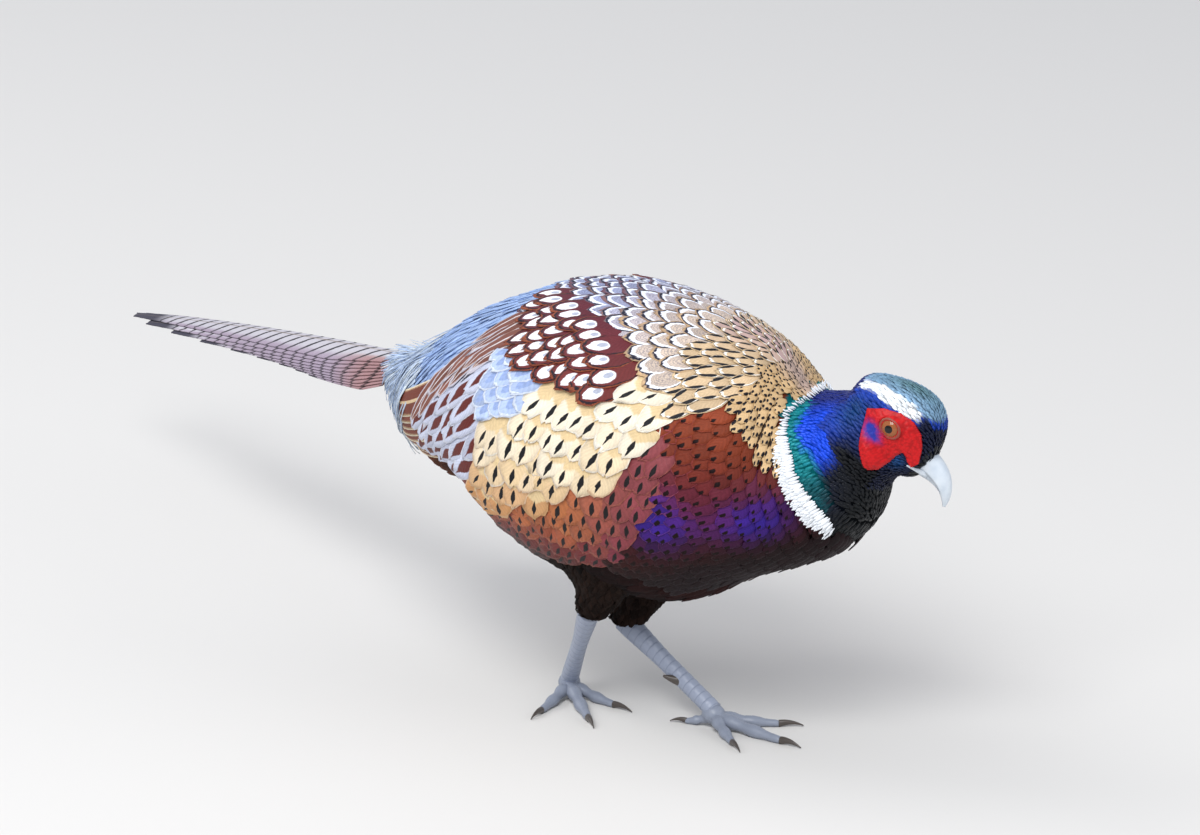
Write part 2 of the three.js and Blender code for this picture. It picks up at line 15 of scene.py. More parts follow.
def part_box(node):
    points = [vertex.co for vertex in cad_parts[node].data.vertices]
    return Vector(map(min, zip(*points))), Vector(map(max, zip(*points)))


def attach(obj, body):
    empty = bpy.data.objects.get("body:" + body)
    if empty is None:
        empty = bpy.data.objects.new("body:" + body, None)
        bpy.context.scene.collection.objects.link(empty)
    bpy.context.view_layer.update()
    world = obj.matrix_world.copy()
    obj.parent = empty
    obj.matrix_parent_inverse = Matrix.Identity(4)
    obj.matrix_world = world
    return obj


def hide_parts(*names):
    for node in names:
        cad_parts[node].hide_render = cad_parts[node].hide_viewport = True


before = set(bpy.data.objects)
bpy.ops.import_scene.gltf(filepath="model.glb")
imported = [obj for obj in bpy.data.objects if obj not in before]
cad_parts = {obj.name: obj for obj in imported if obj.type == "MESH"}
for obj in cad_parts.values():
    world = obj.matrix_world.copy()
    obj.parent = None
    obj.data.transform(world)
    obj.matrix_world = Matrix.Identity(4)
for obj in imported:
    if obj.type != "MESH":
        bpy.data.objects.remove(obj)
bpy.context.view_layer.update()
chance = np.random.default_rng(7)

# Skin
# One skin over trunk, neck, head and thighs, which shows only between the feathers, as down in painted
# shade.
# It lies a coat's depth inside the bird's outline and is stretched over all of them without a seam.

BODY_MIDDLE = 134.0
STEP_BEHIND = 22.0  # the length of a station where the trunk runs on behind its last one
NARROWING = 0.42  # the share of its girth that it loses there in a station
TRUNK = np.array([  # x, y, z of the spine, then half width, height over it and depth under it
    (-146, 9, 3, 16.5, 12, 17), (-127, 4, 1.5, 24, 19, 27), (-100, 1, 2.5, 40, 36.5, 42),
    (-65, 0, 5.5, 54.5, 55, 43), (-25, 0, 5.5, 71, 72.5, 66), (18, 0, 5, 76, 79, 75),
    (60, 1, 5, 72, 76, 73.5), (94, 5, 6.5, 58, 69, 57), (119, 13, 9, 43, 60, 48),
    (137, 19, 15, 34, 45, 41), (151, 24.5, 24.5, 29, 32, 26), (163, 29, 32, 23, 25, 21),
], float)
TRUNK[:, 2] += BODY_MIDDLE
SPAN = len(TRUNK) - 1
HEAD_AT = np.array((171.0, 32.0, BODY_MIDDLE + 39))
HEAD_TURN = math.radians(20)
HEAD_DIP = math.radians(38)
SKULL = np.array([  # the same six for the head, in its own frame, from the nape to the bill
    (-30, 0, 0, 2, 2.5, 3), (-28, 0, 0, 9, 6.6, 16), (-22, 0, 0, 15, 11.6, 26),
    (-12, 0, 0, 18.5, 17, 30), (-2, 0, 0, 18.2, 20.7, 28.5), (7.5, 0, -0.7, 16.3, 21.5, 24.5),
    (16, 0, -3.2, 13.4, 18, 18.5), (22, 0, -7.5, 9, 9, 10),
], float)
head_axes = np.array(Matrix.Rotation(HEAD_TURN, 3, "Z") @ Matrix.Rotation(HEAD_DIP, 3, "Y"))


def spline(points, t):
    """A smooth curve through the points, with t from 0 to 1."""
    place = np.clip(t, 0, 1) * (len(points) - 1)
    i = np.minimum(place.astype(int), len(points) - 2)
    w = (place - i)[:, None]
    ends = np.vstack([2 * points[0] - points[1], points, 2 * points[-1] - points[-2]])
    a, b, c, d = ends[i], ends[i + 1], ends[i + 2], ends[i + 3]
    m, n = (c - a) / 2, (d - b) / 2
    return b + w * m + w**2 * (3 * (c - b) - 2 * m - n) + w**3 * (2 * (b - c) + m + n)


def bow(line, t):
    """Points on the curve that three points draw, with t from 0 to 1, and the way it runs."""
    w = t[:, None]
    at = line[0] * (1 - w) ** 2 + 2 * w * (1 - w) * line[1] + line[2] * w**2
    along = 2 * (1 - w) * (line[1] - line[0]) + 2 * w * (line[2] - line[1])
    return at, along / np.linalg.norm(along, axis=1)[:, None]


def swell(value, start, stop):
    """0 before start, 1 after stop, smooth between them."""
    s = np.clip((value - start) / (stop - start), 0, 1)
    return s * s * (3 - 2 * s)


def spine_frame(t, step=1e-3):
    """Which way the spine runs at t, and which ways are left and up from it."""
    ahead = (spline(TRUNK, np.minimum(t + step, 1)) - spline(TRUNK, np.maximum(t - step, 0)))[:, :3]
    forward = ahead / np.linalg.norm(ahead, axis=1)[:, None]
    left = np.cross((0, 0, 1), forward)
    left /= np.linalg.norm(left, axis=1)[:, None]
    return forward, left, np.cross(forward, left)


def from_head(local):
    """Places in the head's own frame, put in the bird's."""
    return local @ head_axes.T + HEAD_AT


def to_head(points):
    """Places in the bird's frame, put in the head's own."""
    return (points - HEAD_AT) @ head_axes


def trunk(t, angle, lift):
    """Points on the trunk at t along it and an angle from its top towards the left, lifted off it."""
    p = spline(TRUNK, t)
    forward, left, up = spine_frame(np.clip(t, 0, 1), 1e-4)
    past = np.minimum(t, 0) * SPAN
    c = np.cos(angle)
    tall = np.where(c > 0, p[:, 4], p[:, 5]) + lift
    out = left * (np.sin(angle) * (p[:, 3] + lift))[:, None] + up * (c * tall)[:, None]
    return p[:, :3] + forward * (past * STEP_BEHIND)[:, None] + out * (1 + NARROWING * past)[:, None]


def skull(t, angle, lift):
    """Points on the head, like those on the trunk, from the nape to the bill."""
    p = spline(SKULL, t)
    c = np.cos(angle)
    tall = np.where(c > 0, p[:, 4], p[:, 5]) + lift
    local = p[:, :3] + np.stack([0 * c, np.sin(angle) * (p[:, 3] + lift), c * tall], 1)
    return from_head(local)


HIPS = {"left": (8, 24, 97), "right": (14, -31, 97)}
HEELS = {"left": (13, -3, 43), "right": (23, -38, 58)}
HIP_RADIUS = 30
HEEL_RADIUS = 9.5


def thigh(side):
    """The points of one thigh's tube, from the hip inside the belly to the heel."""
    hip, heel = np.array(HIPS[side], float), np.array(HEELS[side], float)
    ahead = hip + (heel - hip) * 0.45 + (22, 0, 0)

    def place(t, angle, lift):
        thick = HIP_RADIUS + (HEEL_RADIUS - HIP_RADIUS) * swell(t * 1.05, 0, 1) + lift
        middle, _ = bow((hip, ahead, heel), t)
        c, s = np.cos(angle), np.sin(angle)
        return middle + np.stack([c * thick * 1.15, s * thick * 0.85, -2 * t * c], 1)

    return place


# The model's frame starts under the middle of the bird's box, so the right eye tells how far that is off
EYE_AT = np.array((-1.2, 15.0, 1.8))
low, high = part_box("eye_right")
eye_middle = (np.array(low) + np.array(high)) * 500
to_model = eye_middle - from_head(EYE_AT * (1, -1, 1))


def add_mesh(name, points, faces):
    """A mesh object from points in the bird's frame and faces with equal numbers of corners."""
    mesh = bpy.data.meshes.new(name)
    faces = np.asarray(faces, np.int32)
    corners = faces.shape[1]
    mesh.vertices.add(len(points))
    mesh.vertices.foreach_set("co", ((points + to_model) / 1000).astype(np.float32).ravel())
    mesh.loops.add(faces.size)
    mesh.loops.foreach_set("vertex_index", faces.ravel())
    mesh.polygons.add(len(faces))
    mesh.polygons.foreach_set("loop_start", np.arange(0, faces.size, corners, dtype=np.int32))
    mesh.polygons.foreach_set("use_smooth", np.full(len(faces), True))
    mesh.update(calc_edges=True)
    piece = bpy.data.objects.new(name, mesh)
    bpy.context.scene.collection.objects.link(piece)
    return piece


def tube(place, rings, sides, lift=0.0):
    """Points and four-sided faces of a tube, closed at its ends by narrowing to a point."""
    t = np.repeat(np.linspace(0, 1, rings + 1), sides)
    angle = np.tile(np.arange(sides) * 2 * math.pi / sides, rings + 1)
    points = place(t, angle, lift)
    for end in (0, rings):
        ring = slice(end * sides, (end + 1) * sides)
        middle = points[ring].mean(axis=0)
        points = np.vstack([points, middle + (points[ring] - middle) * 0.02])
    i, j = np.meshgrid(np.arange(rings), np.arange(sides), indexing="ij")
    k = (j + 1) % sides
    walls = np.stack([i * sides + j, i * sides + k, (i + 1) * sides + k, (i + 1) * sides + j], -1)
    faces = [walls.reshape(-1, 4)]
    j = np.arange(sides)
    k = (j + 1) % sides
    start, stop = (rings + 1) * sides, (rings + 2) * sides
    faces.append(np.stack([start + j, start + k, k, j], 1))
    faces.append(np.stack([rings * sides + j, rings * sides + k, stop + k, stop + j], 1))
    near = np.arange(sides // 2 - 1)
    for first, flip in ((start, False), (stop, True)):
        cap = np.stack([near, near + 1, sides - 2 - near, sides - 1 - near], 1) + first
        faces.append(cap[:, ::-1] if flip else cap)
    return points, np.vstack(faces)


def join(*tubes):
    """Several tubes' points and faces as one set."""
    starts = np.cumsum([0] + [len(p) for p, _ in tubes])
    return np.vstack([p for p, _ in tubes]), np.vstack([f + s for (_, f), s in zip(tubes, starts)])


COAT_DEPTH = {"trunk": 2.6, "head": 0.9, "thigh": 1.5}
body_parts = [tube(trunk, 60, 64, -COAT_DEPTH["trunk"]), tube(skull, 36, 40, -COAT_DEPTH["head"])]
body_parts += [tube(thigh(side), 20, 28, -COAT_DEPTH["thigh"]) for side in HIPS]
skin = add_mesh("skin", *join(*body_parts))
for kind, settings in (
    ("REMESH", {"mode": "VOXEL", "voxel_size": 0.0016, "use_smooth_shade": True}),
    ("SMOOTH", {"factor": 0.6, "iterations": 12}),
):
    step = skin.modifiers.new(kind.lower(), kind)
    for key, value in settings.items():
        setattr(step, key, value)
stretched = bpy.data.meshes.new_from_object(skin.evaluated_get(bpy.context.evaluated_depsgraph_get()))
skin.modifiers.clear()
skin.data = stretched
skin_tree = BVHTree.FromPolygons([v.co[:] for v in stretched.vertices],
                                 [p.vertices[:] for p in stretched.polygons])


def read_all(rows, field, kind=np.float32):
    """One field of all of a mesh's points, normals or triangles, three numbers for each."""
    values = np.empty(len(rows) * 3, kind)
    rows.foreach_get(field, values)
    return values.reshape(-1, 3)


skin_points = read_all(stretched.vertices, "co") * 1000.0 - to_model
skin_normals = read_all(stretched.vertex_normals, "vector")


def linear(code):
    """A colour written as six hex digits, as the shader's linear red, green and blue."""
    parts = np.array([int(code[i:i + 2], 16) / 255 for i in (0, 2, 4)])
    return np.where(parts <= 0.04045, parts / 12.92, ((parts + 0.055) / 1.055) ** 2.4)


def blend(a, b, share):
    """Colours from a to b by a share for each row."""
    share = np.clip(share, 0, 1)[:, None]
    return a * (1 - share) + b * share


def blob(x, y, at, size):
    """A soft round patch, 1 at its middle."""
    return np.exp(-((x - at[0]) / size[0]) ** 2 - ((y - at[1]) / size[1]) ** 2)


def all_of(code, n):
    """The same colour in each of n rows."""
    return np.tile(linear(code), (n, 1))


def breast_colour(x, a):
    """Chestnut above, darker down the side, partly its own colour and partly painted shade, with violet
    gloss low on the side, and near black below.
    """
    # Darker down the side: partly the plumage's own colour towards the belly, partly painted shade
    colour = blend(linear("8a3e24"), linear("3e130e"), (a - 54) / 50)
    colour = blend(colour, linear("6a1f1c"), blob(x, a, (96, 96), (16, 22)) * 0.6)
    gloss = blob(x, a, (74, 92), (9, 12)) + blob(x, a, (84, 106), (10, 12))
    gloss = (gloss + blob(x, a, (113, 108), (12, 14))) * (0.8 + 0.4 * chance.random(len(x)))
    colour = blend(colour, linear("2a2098"), gloss * 0.7)
    return blend(colour, linear("17060a"), (a - 112) / 24)


def place_on_trunk(points):
    """How far along the trunk points near it are, the spine's x there, and their degrees from its top."""
    t = np.linspace(0, 1, 400)
    middles = spline(TRUNK, t)[:, :3]
    nearest = np.empty(len(points), int)
    for start in range(0, len(points), 4000):  # in parts, to spare memory
        part = points[start:start + 4000]
        nearest[start:start + 4000] = ((part[:, None, :] - middles[None]) ** 2).sum(-1).argmin(1)
    t = t[nearest]
    _, left, up = spine_frame(t)
    off = points - middles[nearest]
    return t, middles[nearest][:, 0], np.degrees(np.arctan2((off * left).sum(1), (off * up).sum(1)))


TEAL_END = ((0, 22, 47, 68, 87, 106, 123, 132), (9.9, 9.79, 9.24, 9.28, 9.32, 9.26, 9.1, 8.9))
BLUE_END = ((0, 24, 46, 71, 92, 104, 123, 132), (10.4, 10.3, 10.15, 10.1, 9.8, 9.6, 9.35, 9.1))


def neck_colour(t, a):
    """Teal next to the ring, then bright blue, then navy towards the head, with painted shade that darkens
    each down the side to black under the throat.
    """
    along = t * SPAN
    # Painted shade: each colour darkens down the neck's side from this share
    low = swell(a, 78, 104)
    teal = blend(linear("0a7f86"), linear("064f58"), low)
    blue = blend(linear("0b45d2"), linear("050d20"), low)
    navy = blend(linear("102a80"), linear("050a14"), low)
    colour = blend(teal, blue, (along - np.interp(a, *TEAL_END) + 0.1) / 0.2)
    colour = blend(colour, navy, (along - np.interp(a, *BLUE_END) + 0.15) / 0.4)
    colour = blend(colour, linear("0c2074"), (40 - a) / 24 * (along > 9.7))
    # Painted shade: black under the throat, deeper towards the head
    return blend(colour, linear("04090e"), (a - 120) / 22 + (along - 9.9) * 0.25 * (a > 104))


def head_colour(local):
    """The head's colours, from pale cap and white brow to black chin, by places in its own frame."""
    x, y, z = local[:, 0], np.abs(local[:, 1]), local[:, 2]
    colour = blend(linear("14307c"), linear("05090f"), (-z - 8) / 13)
    colour = blend(colour, linear("1038a4"), swell(x, -8, -22) * np.clip((z + 30) / 12, 0, 0.85))
    colour = blend(colour, linear("0f3f5c"), blob(x, z, (-18, -6), (6, 8)) * 0.7)
    brow = np.interp(x, (-30, -24, -16, -6, 2, 7.4, 10), (2, 6, 9.9, 11.6, 12.6, 12.7, 12.5))
    half = np.interp(x, (-30, -24, -16, -6, 2, 7.4, 10), (0.6, 1.6, 2.3, 2.9, 3.2, 1.8, -1.5))
    colour = blend(colour, linear("133a9e"), (z - brow + 8) / 4)
    crown = blend(linear("7a9cba"), linear("557a82"), blob(x, y, (-4, 0), (14, 8)))
    crown = blend(crown, linear("9cc0e0"), blob(x, y, (2, 12), (16, 4)) * 0.7)
    colour = blend(colour, crown, (z - brow - 1.0) / 1.4)
    colour = blend(colour, linear("f2f7fb"), (half - np.abs(z - brow)) / 0.7 + 0.5)
    lore = np.clip((x - 8.5) / 2, 0, 1) * (z < 14.5 - 0.5 * (x - 9))
    colour = blend(colour, linear("0a1330"), lore)
    return blend(colour, linear("1a4f8a"), blob(x, z, (12.5, -11), (3.5, 4)) * (y > 5) * 0.95)


def coat_colour(points):
    """The ground colour of the coat at points on the skin."""
    t, x, angle = place_on_trunk(points)
    a = np.abs(angle)
    colour = breast_colour(x, a)
    colour[(a < 60) & (x < 126)] = linear("8a6f5c")
    colour[(x < -24) & (a < 80)] = linear("7f93b5")
    colour[(a > 58) & (a < 104) & (x < 74)] = linear("b09468")
    on_neck = t * SPAN > 8.75
    colour[on_neck] = neck_colour(t, a)[on_neck]
    local = to_head(points)
    on_head = (local[:, 0] > -25) & (t > 0.9)
    colour[on_head] = head_colour(local)[on_head]
    colour[(points[:, 2] < 66) & (x < 60)] = linear("1d1512")
    return colour


def paint(piece, colours, name="Ground"):
    """Stores a colour at each of the piece's points."""
    layer = piece.data.color_attributes.new(name, "FLOAT_COLOR", "POINT")
    full = np.concatenate([colours, np.ones((len(colours), 1))], 1).astype(np.float32)
    layer.data.foreach_set("color", full.ravel())


def node(tree, kind, inputs=None, out=0, **settings):
    """Adds a node with its settings, and with its inputs set or linked, and gives one of its outputs."""
    made = tree.nodes.new(kind)
    for key, value in settings.items():
        setattr(made, key, value)
    for key, value in (inputs or {}).items():
        if isinstance(value, bpy.types.NodeSocket):
            tree.links.new(value, made.inputs[key])
        else:
            made.inputs[key].default_value = value
    return made.outputs[out]


def material(name, roughness, metallic=0.0, **more):
    """A new material and its shader, with even values set on the shader's own sockets."""
    made = bpy.data.materials.new(name)
    made.use_nodes = True
    shader = made.node_tree.nodes["Principled BSDF"]
    shader.inputs["Roughness"].default_value = roughness
    shader.inputs["Metallic"].default_value = metallic
    for key, value in more.items():
        shader.inputs[key.replace("_", " ").title().replace("Ior", "IOR")].default_value = value
    return made, made.node_tree, shader


def surface(tree, shader, colour, height=None, strength=0.0, depth=0.0):
    """Links a colour and, where there is one, a fine relief to the shader."""
    tree.links.new(colour, shader.inputs["Base Color"])
    if height is not None:
        bump = node(tree, "ShaderNodeBump", {"Strength": strength, "Distance": depth, "Height": height})
        tree.links.new(bump, shader.inputs["Normal"])


def painted(tree, name="Ground"):
    """A colour that is stored at the piece's points."""
    return node(tree, "ShaderNodeVertexColor", layer_name=name)


def object_place(tree):
    """The shaded point in the piece's own frame, which is the texture node's fourth output."""
    return node(tree, "ShaderNodeTexCoord", out=3)


def dress(piece, finish, slot, *nodes):
    """Gives a piece its material, hangs it on the root, and hides the model's parts that it stands for."""
    piece.data.materials.append(finish)
    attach(piece, "root")
    if nodes:
        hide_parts(*nodes)


# Painted shade: the skin between the feathers takes the coat's own colours, darkened to this share
PAINTED_GAP_SHADE = 0.45
paint(skin, coat_colour(skin_points) * PAINTED_GAP_SHADE)
# Down is loose and matt; its colour is the coat's own, darkened as painted shade between the feathers
down, tree, shader = material("Down under the feathers, in painted shade", 0.9, specular_ior_level=0.05)
surface(tree, shader, painted(tree))
skin.data.materials.clear()
dress(skin, down, "body", "torso", "neck", "head", "thigh_left", "thigh_right")

# Body feathers
# Real contour feathers: each a thin closed vane laid along the body from root to tip, in staggered rows
# whose tips lie over the next row's roots. Their marks are the species' own, one pattern for each tract,
# but for the flanks' tan band, which is painted shade.


PATCH_SIZE = 0.003  # how far across each feather's patch is on the map it is baked on
VANE_THICKNESS = 0.3


def rows_v(along):
    """How far along the vane its rows lie: closer together at the tip."""
    s = np.linspace(0, 1, along + 1)
    return 1 - (1 - s) ** 1.4


def vane_mesh(name, rows, ground, patch, fringe=None):
    """Closed vanes from an array of points [feather, face, row, column], with colours and maps."""
    count, _, m, n, _ = rows.shape
    size = m * n
    grid = np.arange(size).reshape(m, n)
    top = np.stack([grid[:-1, :-1], grid[:-1, 1:], grid[1:, 1:], grid[1:, :-1]], -1).reshape(-1, 4)
    rim = np.concatenate([grid[0, :-1], grid[:-1, -1], grid[-1, :0:-1], grid[:0:-1, 0]])
    after = np.roll(rim, -1)
    edge = np.stack([after, rim, rim + size, after + size], 1)
    one = np.vstack([top, top[:, ::-1] + size, edge])
    faces = (one[None] + (np.arange(count) * 2 * size)[:, None, None]).reshape(-1, 4)
    piece = add_mesh(name, rows.reshape(-1, 3), faces)
    u = np.broadcast_to(np.linspace(0, 1, n)[None, :], (m, n))
    v = np.broadcast_to(rows_v(m - 1)[:, None], (m, n))
    local = np.tile(np.stack([u, v], -1).reshape(-1, 2), (2 * count, 1))
    at = np.repeat(patch, 2 * size, axis=0) * 0.99 + 0.003
    loops = faces.ravel()
    for map_name, values in (("Vane", local), ("OFBake", at + (local - 0.5) * PATCH_SIZE)):
        layer = piece.data.uv_layers.new(name=map_name)
        layer.data.foreach_set("uv", values[loops].astype(np.float32).ravel())
    paint(piece, np.repeat(ground, 2 * size, axis=0))
    if fringe is not None:
        paint(piece, np.repeat(fringe, 2 * size, axis=0), "Fringe")
    kind = piece.data.attributes.new("Feather", "FLOAT_VECTOR", "POINT")
    own = np.repeat(chance.random((count, 3)), 2 * size, axis=0)
    kind.data.foreach_set("vector", own.astype(np.float32).ravel())
    return piece


def round_vane(v):
    """A contour feather's outline: half its width along it, as a share of the widest."""
    tip = np.clip((v - 0.5) / 0.5, 0, 1)
    return (0.35 + 0.65 * swell(v, 0, 0.5)) * np.sqrt(np.maximum(0.02, 1 - tip**2.2))


def narrow_vane(v):
    """A hair-like feather's outline."""
    return 1 - 0.8 * v**1.3


def long_vane(v):
    """A flight feather's outline: nearly even, with a rounded tip."""
    return (0.5 + 0.5 * np.clip(v / 0.3, 0, 1)) * np.sqrt(np.maximum(0.02, 1 - v**5))


SPINE_T = np.linspace(0, 1, 2001)
SPINE_X = spline(TRUNK, SPINE_T)[:, 0]
SPINE_LENGTH = np.linalg.norm(np.diff(spline(TRUNK, SPINE_T)[:, :3], axis=0), axis=1).sum()


def x_to_t(x):
    """How far along the trunk its spine passes each x; behind the last station it runs on evenly."""
    return np.where(x < SPINE_X[0], (x - SPINE_X[0]) / STEP_BEHIND / SPAN, np.interp(x, SPINE_X, SPINE_T))


def t_to_x(t):
    """The spine's x at t."""
    return np.where(t < 0, SPINE_X[0] + t * SPAN * STEP_BEHIND, np.interp(t, SPINE_T, SPINE_X))


def girth_at(t):
    """The trunk's mean radius at t."""
    p = spline(TRUNK, np.ravel(t)).reshape(np.shape(t) + (6,))
    return (p[..., 3] * 2 + p[..., 4] + p[..., 5]) / 4


def wing_bulge(t, angle):
    """How far the folded wing holds the feathers over it off the trunk."""
    x, a = t_to_x(t), np.degrees(np.abs(angle))
    return 4.2 * swell(x, 24, -8) * swell(x, -128, -104) * swell(a, 42, 56) * swell(a, 120, 106)


def lay_on_trunk(t, angle, length, half, lie, lifts, across=4, along=6, outline=round_vane,
                 arch=0.05, thick=VANE_THICKNESS, on_wing=1.0, ragged=0.05):
    """Vanes that lie on the trunk at an angle down from its line, as points [feather, face, row, column]."""
    v = rows_v(along)[None, :, None]
    u = np.linspace(-1, 1, across + 1)[None, None, :]
    way = np.where(angle < 0, -1.0, 1.0)[:, None, None]
    length, half, lie, start = (np.asarray(q, float)[:, None, None] for q in (length, half, lie, lifts[0]))
    stop = np.asarray(lifts[1], float)[:, None, None]
    shape = (len(t), along + 1, across + 1)
    back = v * length * (1 + ragged * 0.5 * chance.normal(0, 1, shape) * v)
    side = u * half * outline(v) * (1 + ragged * chance.normal(0, 1, shape))
    t_at = t[:, None, None] - (back * np.cos(lie) - way * side * np.sin(lie)) / SPINE_LENGTH
    turn = (way * back * np.sin(lie) + side * np.cos(lie)) / (girth_at(t_at) + 1)
    angle_at = angle[:, None, None] + turn
    lift = start + (stop - start) * v**0.75 - arch * half * u**2 + on_wing * wing_bulge(t_at, angle_at)
    t_at, angle_at, lift = (np.broadcast_to(q, shape).ravel() for q in (t_at, angle_at, lift))
    faces = [trunk(t_at, angle_at, lift + f * thick / 2).reshape(shape + (3,)) for f in (1, -1)]
    return np.stack(faces, 1)


def shader_tools(tree):
    """Maths, soft steps and mixing in one material, as functions that add a node each."""
    def calc(kind, a, b=0.0, c=0.0):
        return node(tree, "ShaderNodeMath", {0: a, 1: b, 2: c}, operation=kind)

    def ramp(value, start, stop):
        return node(tree, "ShaderNodeMapRange", {0: value, 1: start, 2: stop},
                    interpolation_type="SMOOTHSTEP")

    def mix(share, under, code):
        on = painted(tree, code) if code == "Fringe" else (*linear(code), 1.0)
        return node(tree, "ShaderNodeMix", {0: share, 6: under, 7: on}, out=2, data_type="RGBA")

    return calc, ramp, mix


def on_vane(tree):
    """Where the shaded point is on its vane, and its feather's own three numbers."""
    place, own = (tree.nodes.new("ShaderNodeSeparateXYZ") for _ in range(2))
    tree.links.new(node(tree, "ShaderNodeUVMap", uv_map="Vane"), place.inputs[0])
    tree.links.new(node(tree, "ShaderNodeAttribute", out=1, attribute_name="Feather"), own.inputs[0])
    return place.outputs, own.outputs


SOFTNESS = 0.05  # half the width of a ring's soft edge


def plumage(name, rings=(), marks=(), roughness=0.6, metallic=0.0, barbs=60, streak=0.07, lines=0.0, tip=5.0,
            shine=0.3):
    """A feather's material: keratin barbs side by side, which give a soft sheen and fine slanted lines.

    A ring is (from, to, colour) on a scale that is 0 at the vane's edge and 1 at its middle. A mark is
    (off the shaft, along, half width, half length, sharpness, colour), and stands on both sides of it.
    The colour "Fringe" is the feather's own second colour.
    """
    made, tree, shader = material(name, roughness, metallic, specular_ior_level=shine)
    calc, ramp, mix = shader_tools(tree)
    place, own = on_vane(tree)
    u = calc("ABSOLUTE", calc("MULTIPLY_ADD", place[0], 2.0, -1.0))
    v = place[1]
    here = object_place(tree)
    grain = node(tree, "ShaderNodeTexNoise", {"Vector": here, "Scale": 900.0, "Detail": 2.0})
    shake = calc("MULTIPLY", calc("SUBTRACT", grain, 0.5), 0.34)
    inward = calc("MULTIPLY", calc("SUBTRACT", 1.0, calc("MULTIPLY", u, u)),
                  calc("SUBTRACT", 1.0, calc("POWER", v, tip)))
    inward = calc("ADD", inward, calc("MULTIPLY", shake, 0.5))
    inward = calc("ADD", inward, calc("MULTIPLY", calc("SUBTRACT", own[0], 0.5), 0.05))
    colour = painted(tree)
    if lines:
        fine = ramp(calc("SINE", calc("MULTIPLY", inward, 75.0)), -0.2, 0.9)
        colour = mix(calc("MULTIPLY", fine, lines), colour, "5c5a72")
    for start, stop, code in rings:
        rise = ramp(inward, start - SOFTNESS, start + SOFTNESS)
        fall = ramp(inward, stop + SOFTNESS, stop - SOFTNESS)
        colour = mix(calc("MULTIPLY", rise, fall), colour, code)
    for off, at, wide, tall, sharp, code in marks:
        across = calc("POWER", calc("DIVIDE", calc("ABSOLUTE", calc("SUBTRACT", u, off)), wide), sharp)
        along = calc("POWER", calc("DIVIDE", calc("ABSOLUTE", calc("SUBTRACT", v, at)), tall), sharp)
        reach = calc("ADD", calc("ADD", across, along), shake)
        reach = calc("ADD", reach, calc("MULTIPLY", calc("SUBTRACT", own[1], 0.5), 0.3))
        colour = mix(ramp(reach, 1.15, 0.85), colour, code)
    # Barbs: fine lines that slant from the shaft to the edge, and a soft mottling between feathers.
    # Real ones stand about 0.3 mm apart, so these are drawn as coarse as they need to be to show.
    slant = calc("ADD", calc("MULTIPLY", v, float(barbs)), calc("MULTIPLY", u, -barbs * 0.3))
    ridges = calc("SINE", calc("ADD", slant, calc("MULTIPLY", grain, 7.0)))
    shaft = ramp(u, 0.05, 0.0)
    broad = node(tree, "ShaderNodeTexNoise", {"Vector": here, "Scale": 160.0, "Detail": 2.0})
    shade = calc("ADD", calc("MULTIPLY_ADD", ridges, streak, 0.84), calc("MULTIPLY", broad, 0.32))
    shade = calc("ADD", shade, calc("MULTIPLY", shaft, 0.06))
    tint = node(tree, "ShaderNodeCombineXYZ", {0: shade, 1: shade, 2: shade})
    colour = node(tree, "ShaderNodeVectorMath", {0: colour, 1: tint}, operation="MULTIPLY")
    surface(tree, shader, colour, calc("ADD", calc("MULTIPLY", ridges, 0.5), grain), 0.35, 0.00025)
    return made


# Where each kind of feather shows, by the spine's x and degrees down from the back's middle line
SCAPULARS = ((-23, 16), (-8, 19), (11, 23), (23, 29), (34, 37), (49, 39), (62, 42), (67, 47), (60, 50),
             (57, 55), (50, 59), (40, 58), (27, 57), (19, 58), (13, 55), (3, 52), (-12, 45), (-15, 38),
             (-18, 28))
SKY_PATCH = ((-12, 44), (3, 51), (13, 54), (20, 57), (22, 63), (12, 69), (2, 73), (-13, 77), (-20, 72),
             (-14, 64), (-20, 60), (-20, 54))
WING_SHOWN = ((-14, 50), (-18, 60), (-12, 64), (-17, 72), (-12, 76), (-14, 84), (-13, 92), (-26, 104),
              (-56, 116), (-70, 119), (-88, 108), (-92, 96), (-92, 86), (-78, 80), (-51, 70), (-41, 57),
              (-30, 53), (-17, 49))
FLANKS = ((19, 57), (27, 56), (40, 57), (50, 59), (56, 55), (60, 50), (66, 48), (72, 47), (82, 50),
          (86, 57), (82, 63), (78, 68), (73, 74), (65, 82), (60, 88), (53, 92), (38, 98), (23, 101),
          (5, 106), (-10, 113), (-40, 113), (-26, 104), (-13, 92), (-14, 84), (-12, 76), (2, 72),
          (20, 66))
RUSTY = ((-46, 112), (-10, 113), (5, 106), (23, 101), (38, 98), (53, 92), (65, 82), (73, 74), (78, 69),
         (83, 71), (86, 81), (82, 92), (74, 108), (61, 121), (33, 130), (2, 134), (-24, 131), (-60, 118))
RUMP_EDGE = ((-150, -100, -89, -78, -68, -61, -53, -45, -39, -33, -27, -22),
             (150, 85, 76, 69, 62, 55, 48, 42, 36, 30, 22, 0))
TERTIAL_EDGE = ((-150, -101, -78, -51, -41, -30, -14), (170, 89, 80, 70, 57, 53, 48))
MANTLE_EDGE = ((66, 76, 82, 86, 92, 100, 104, 107, 113, 117, 119, 128, 132),
               (48, 47, 51, 57, 56, 52, 54, 63, 67, 72, 84, 88, 92))
SPOTS_EDGE = ((0, 22, 40, 51, 60), (126, 119, 110, 101, 93))
BELLY_EDGE = ((-146, -60, -24, 2, 33, 54, 66, 90, 110), (104, 117, 130, 134, 130, 127, 136, 172, 180))
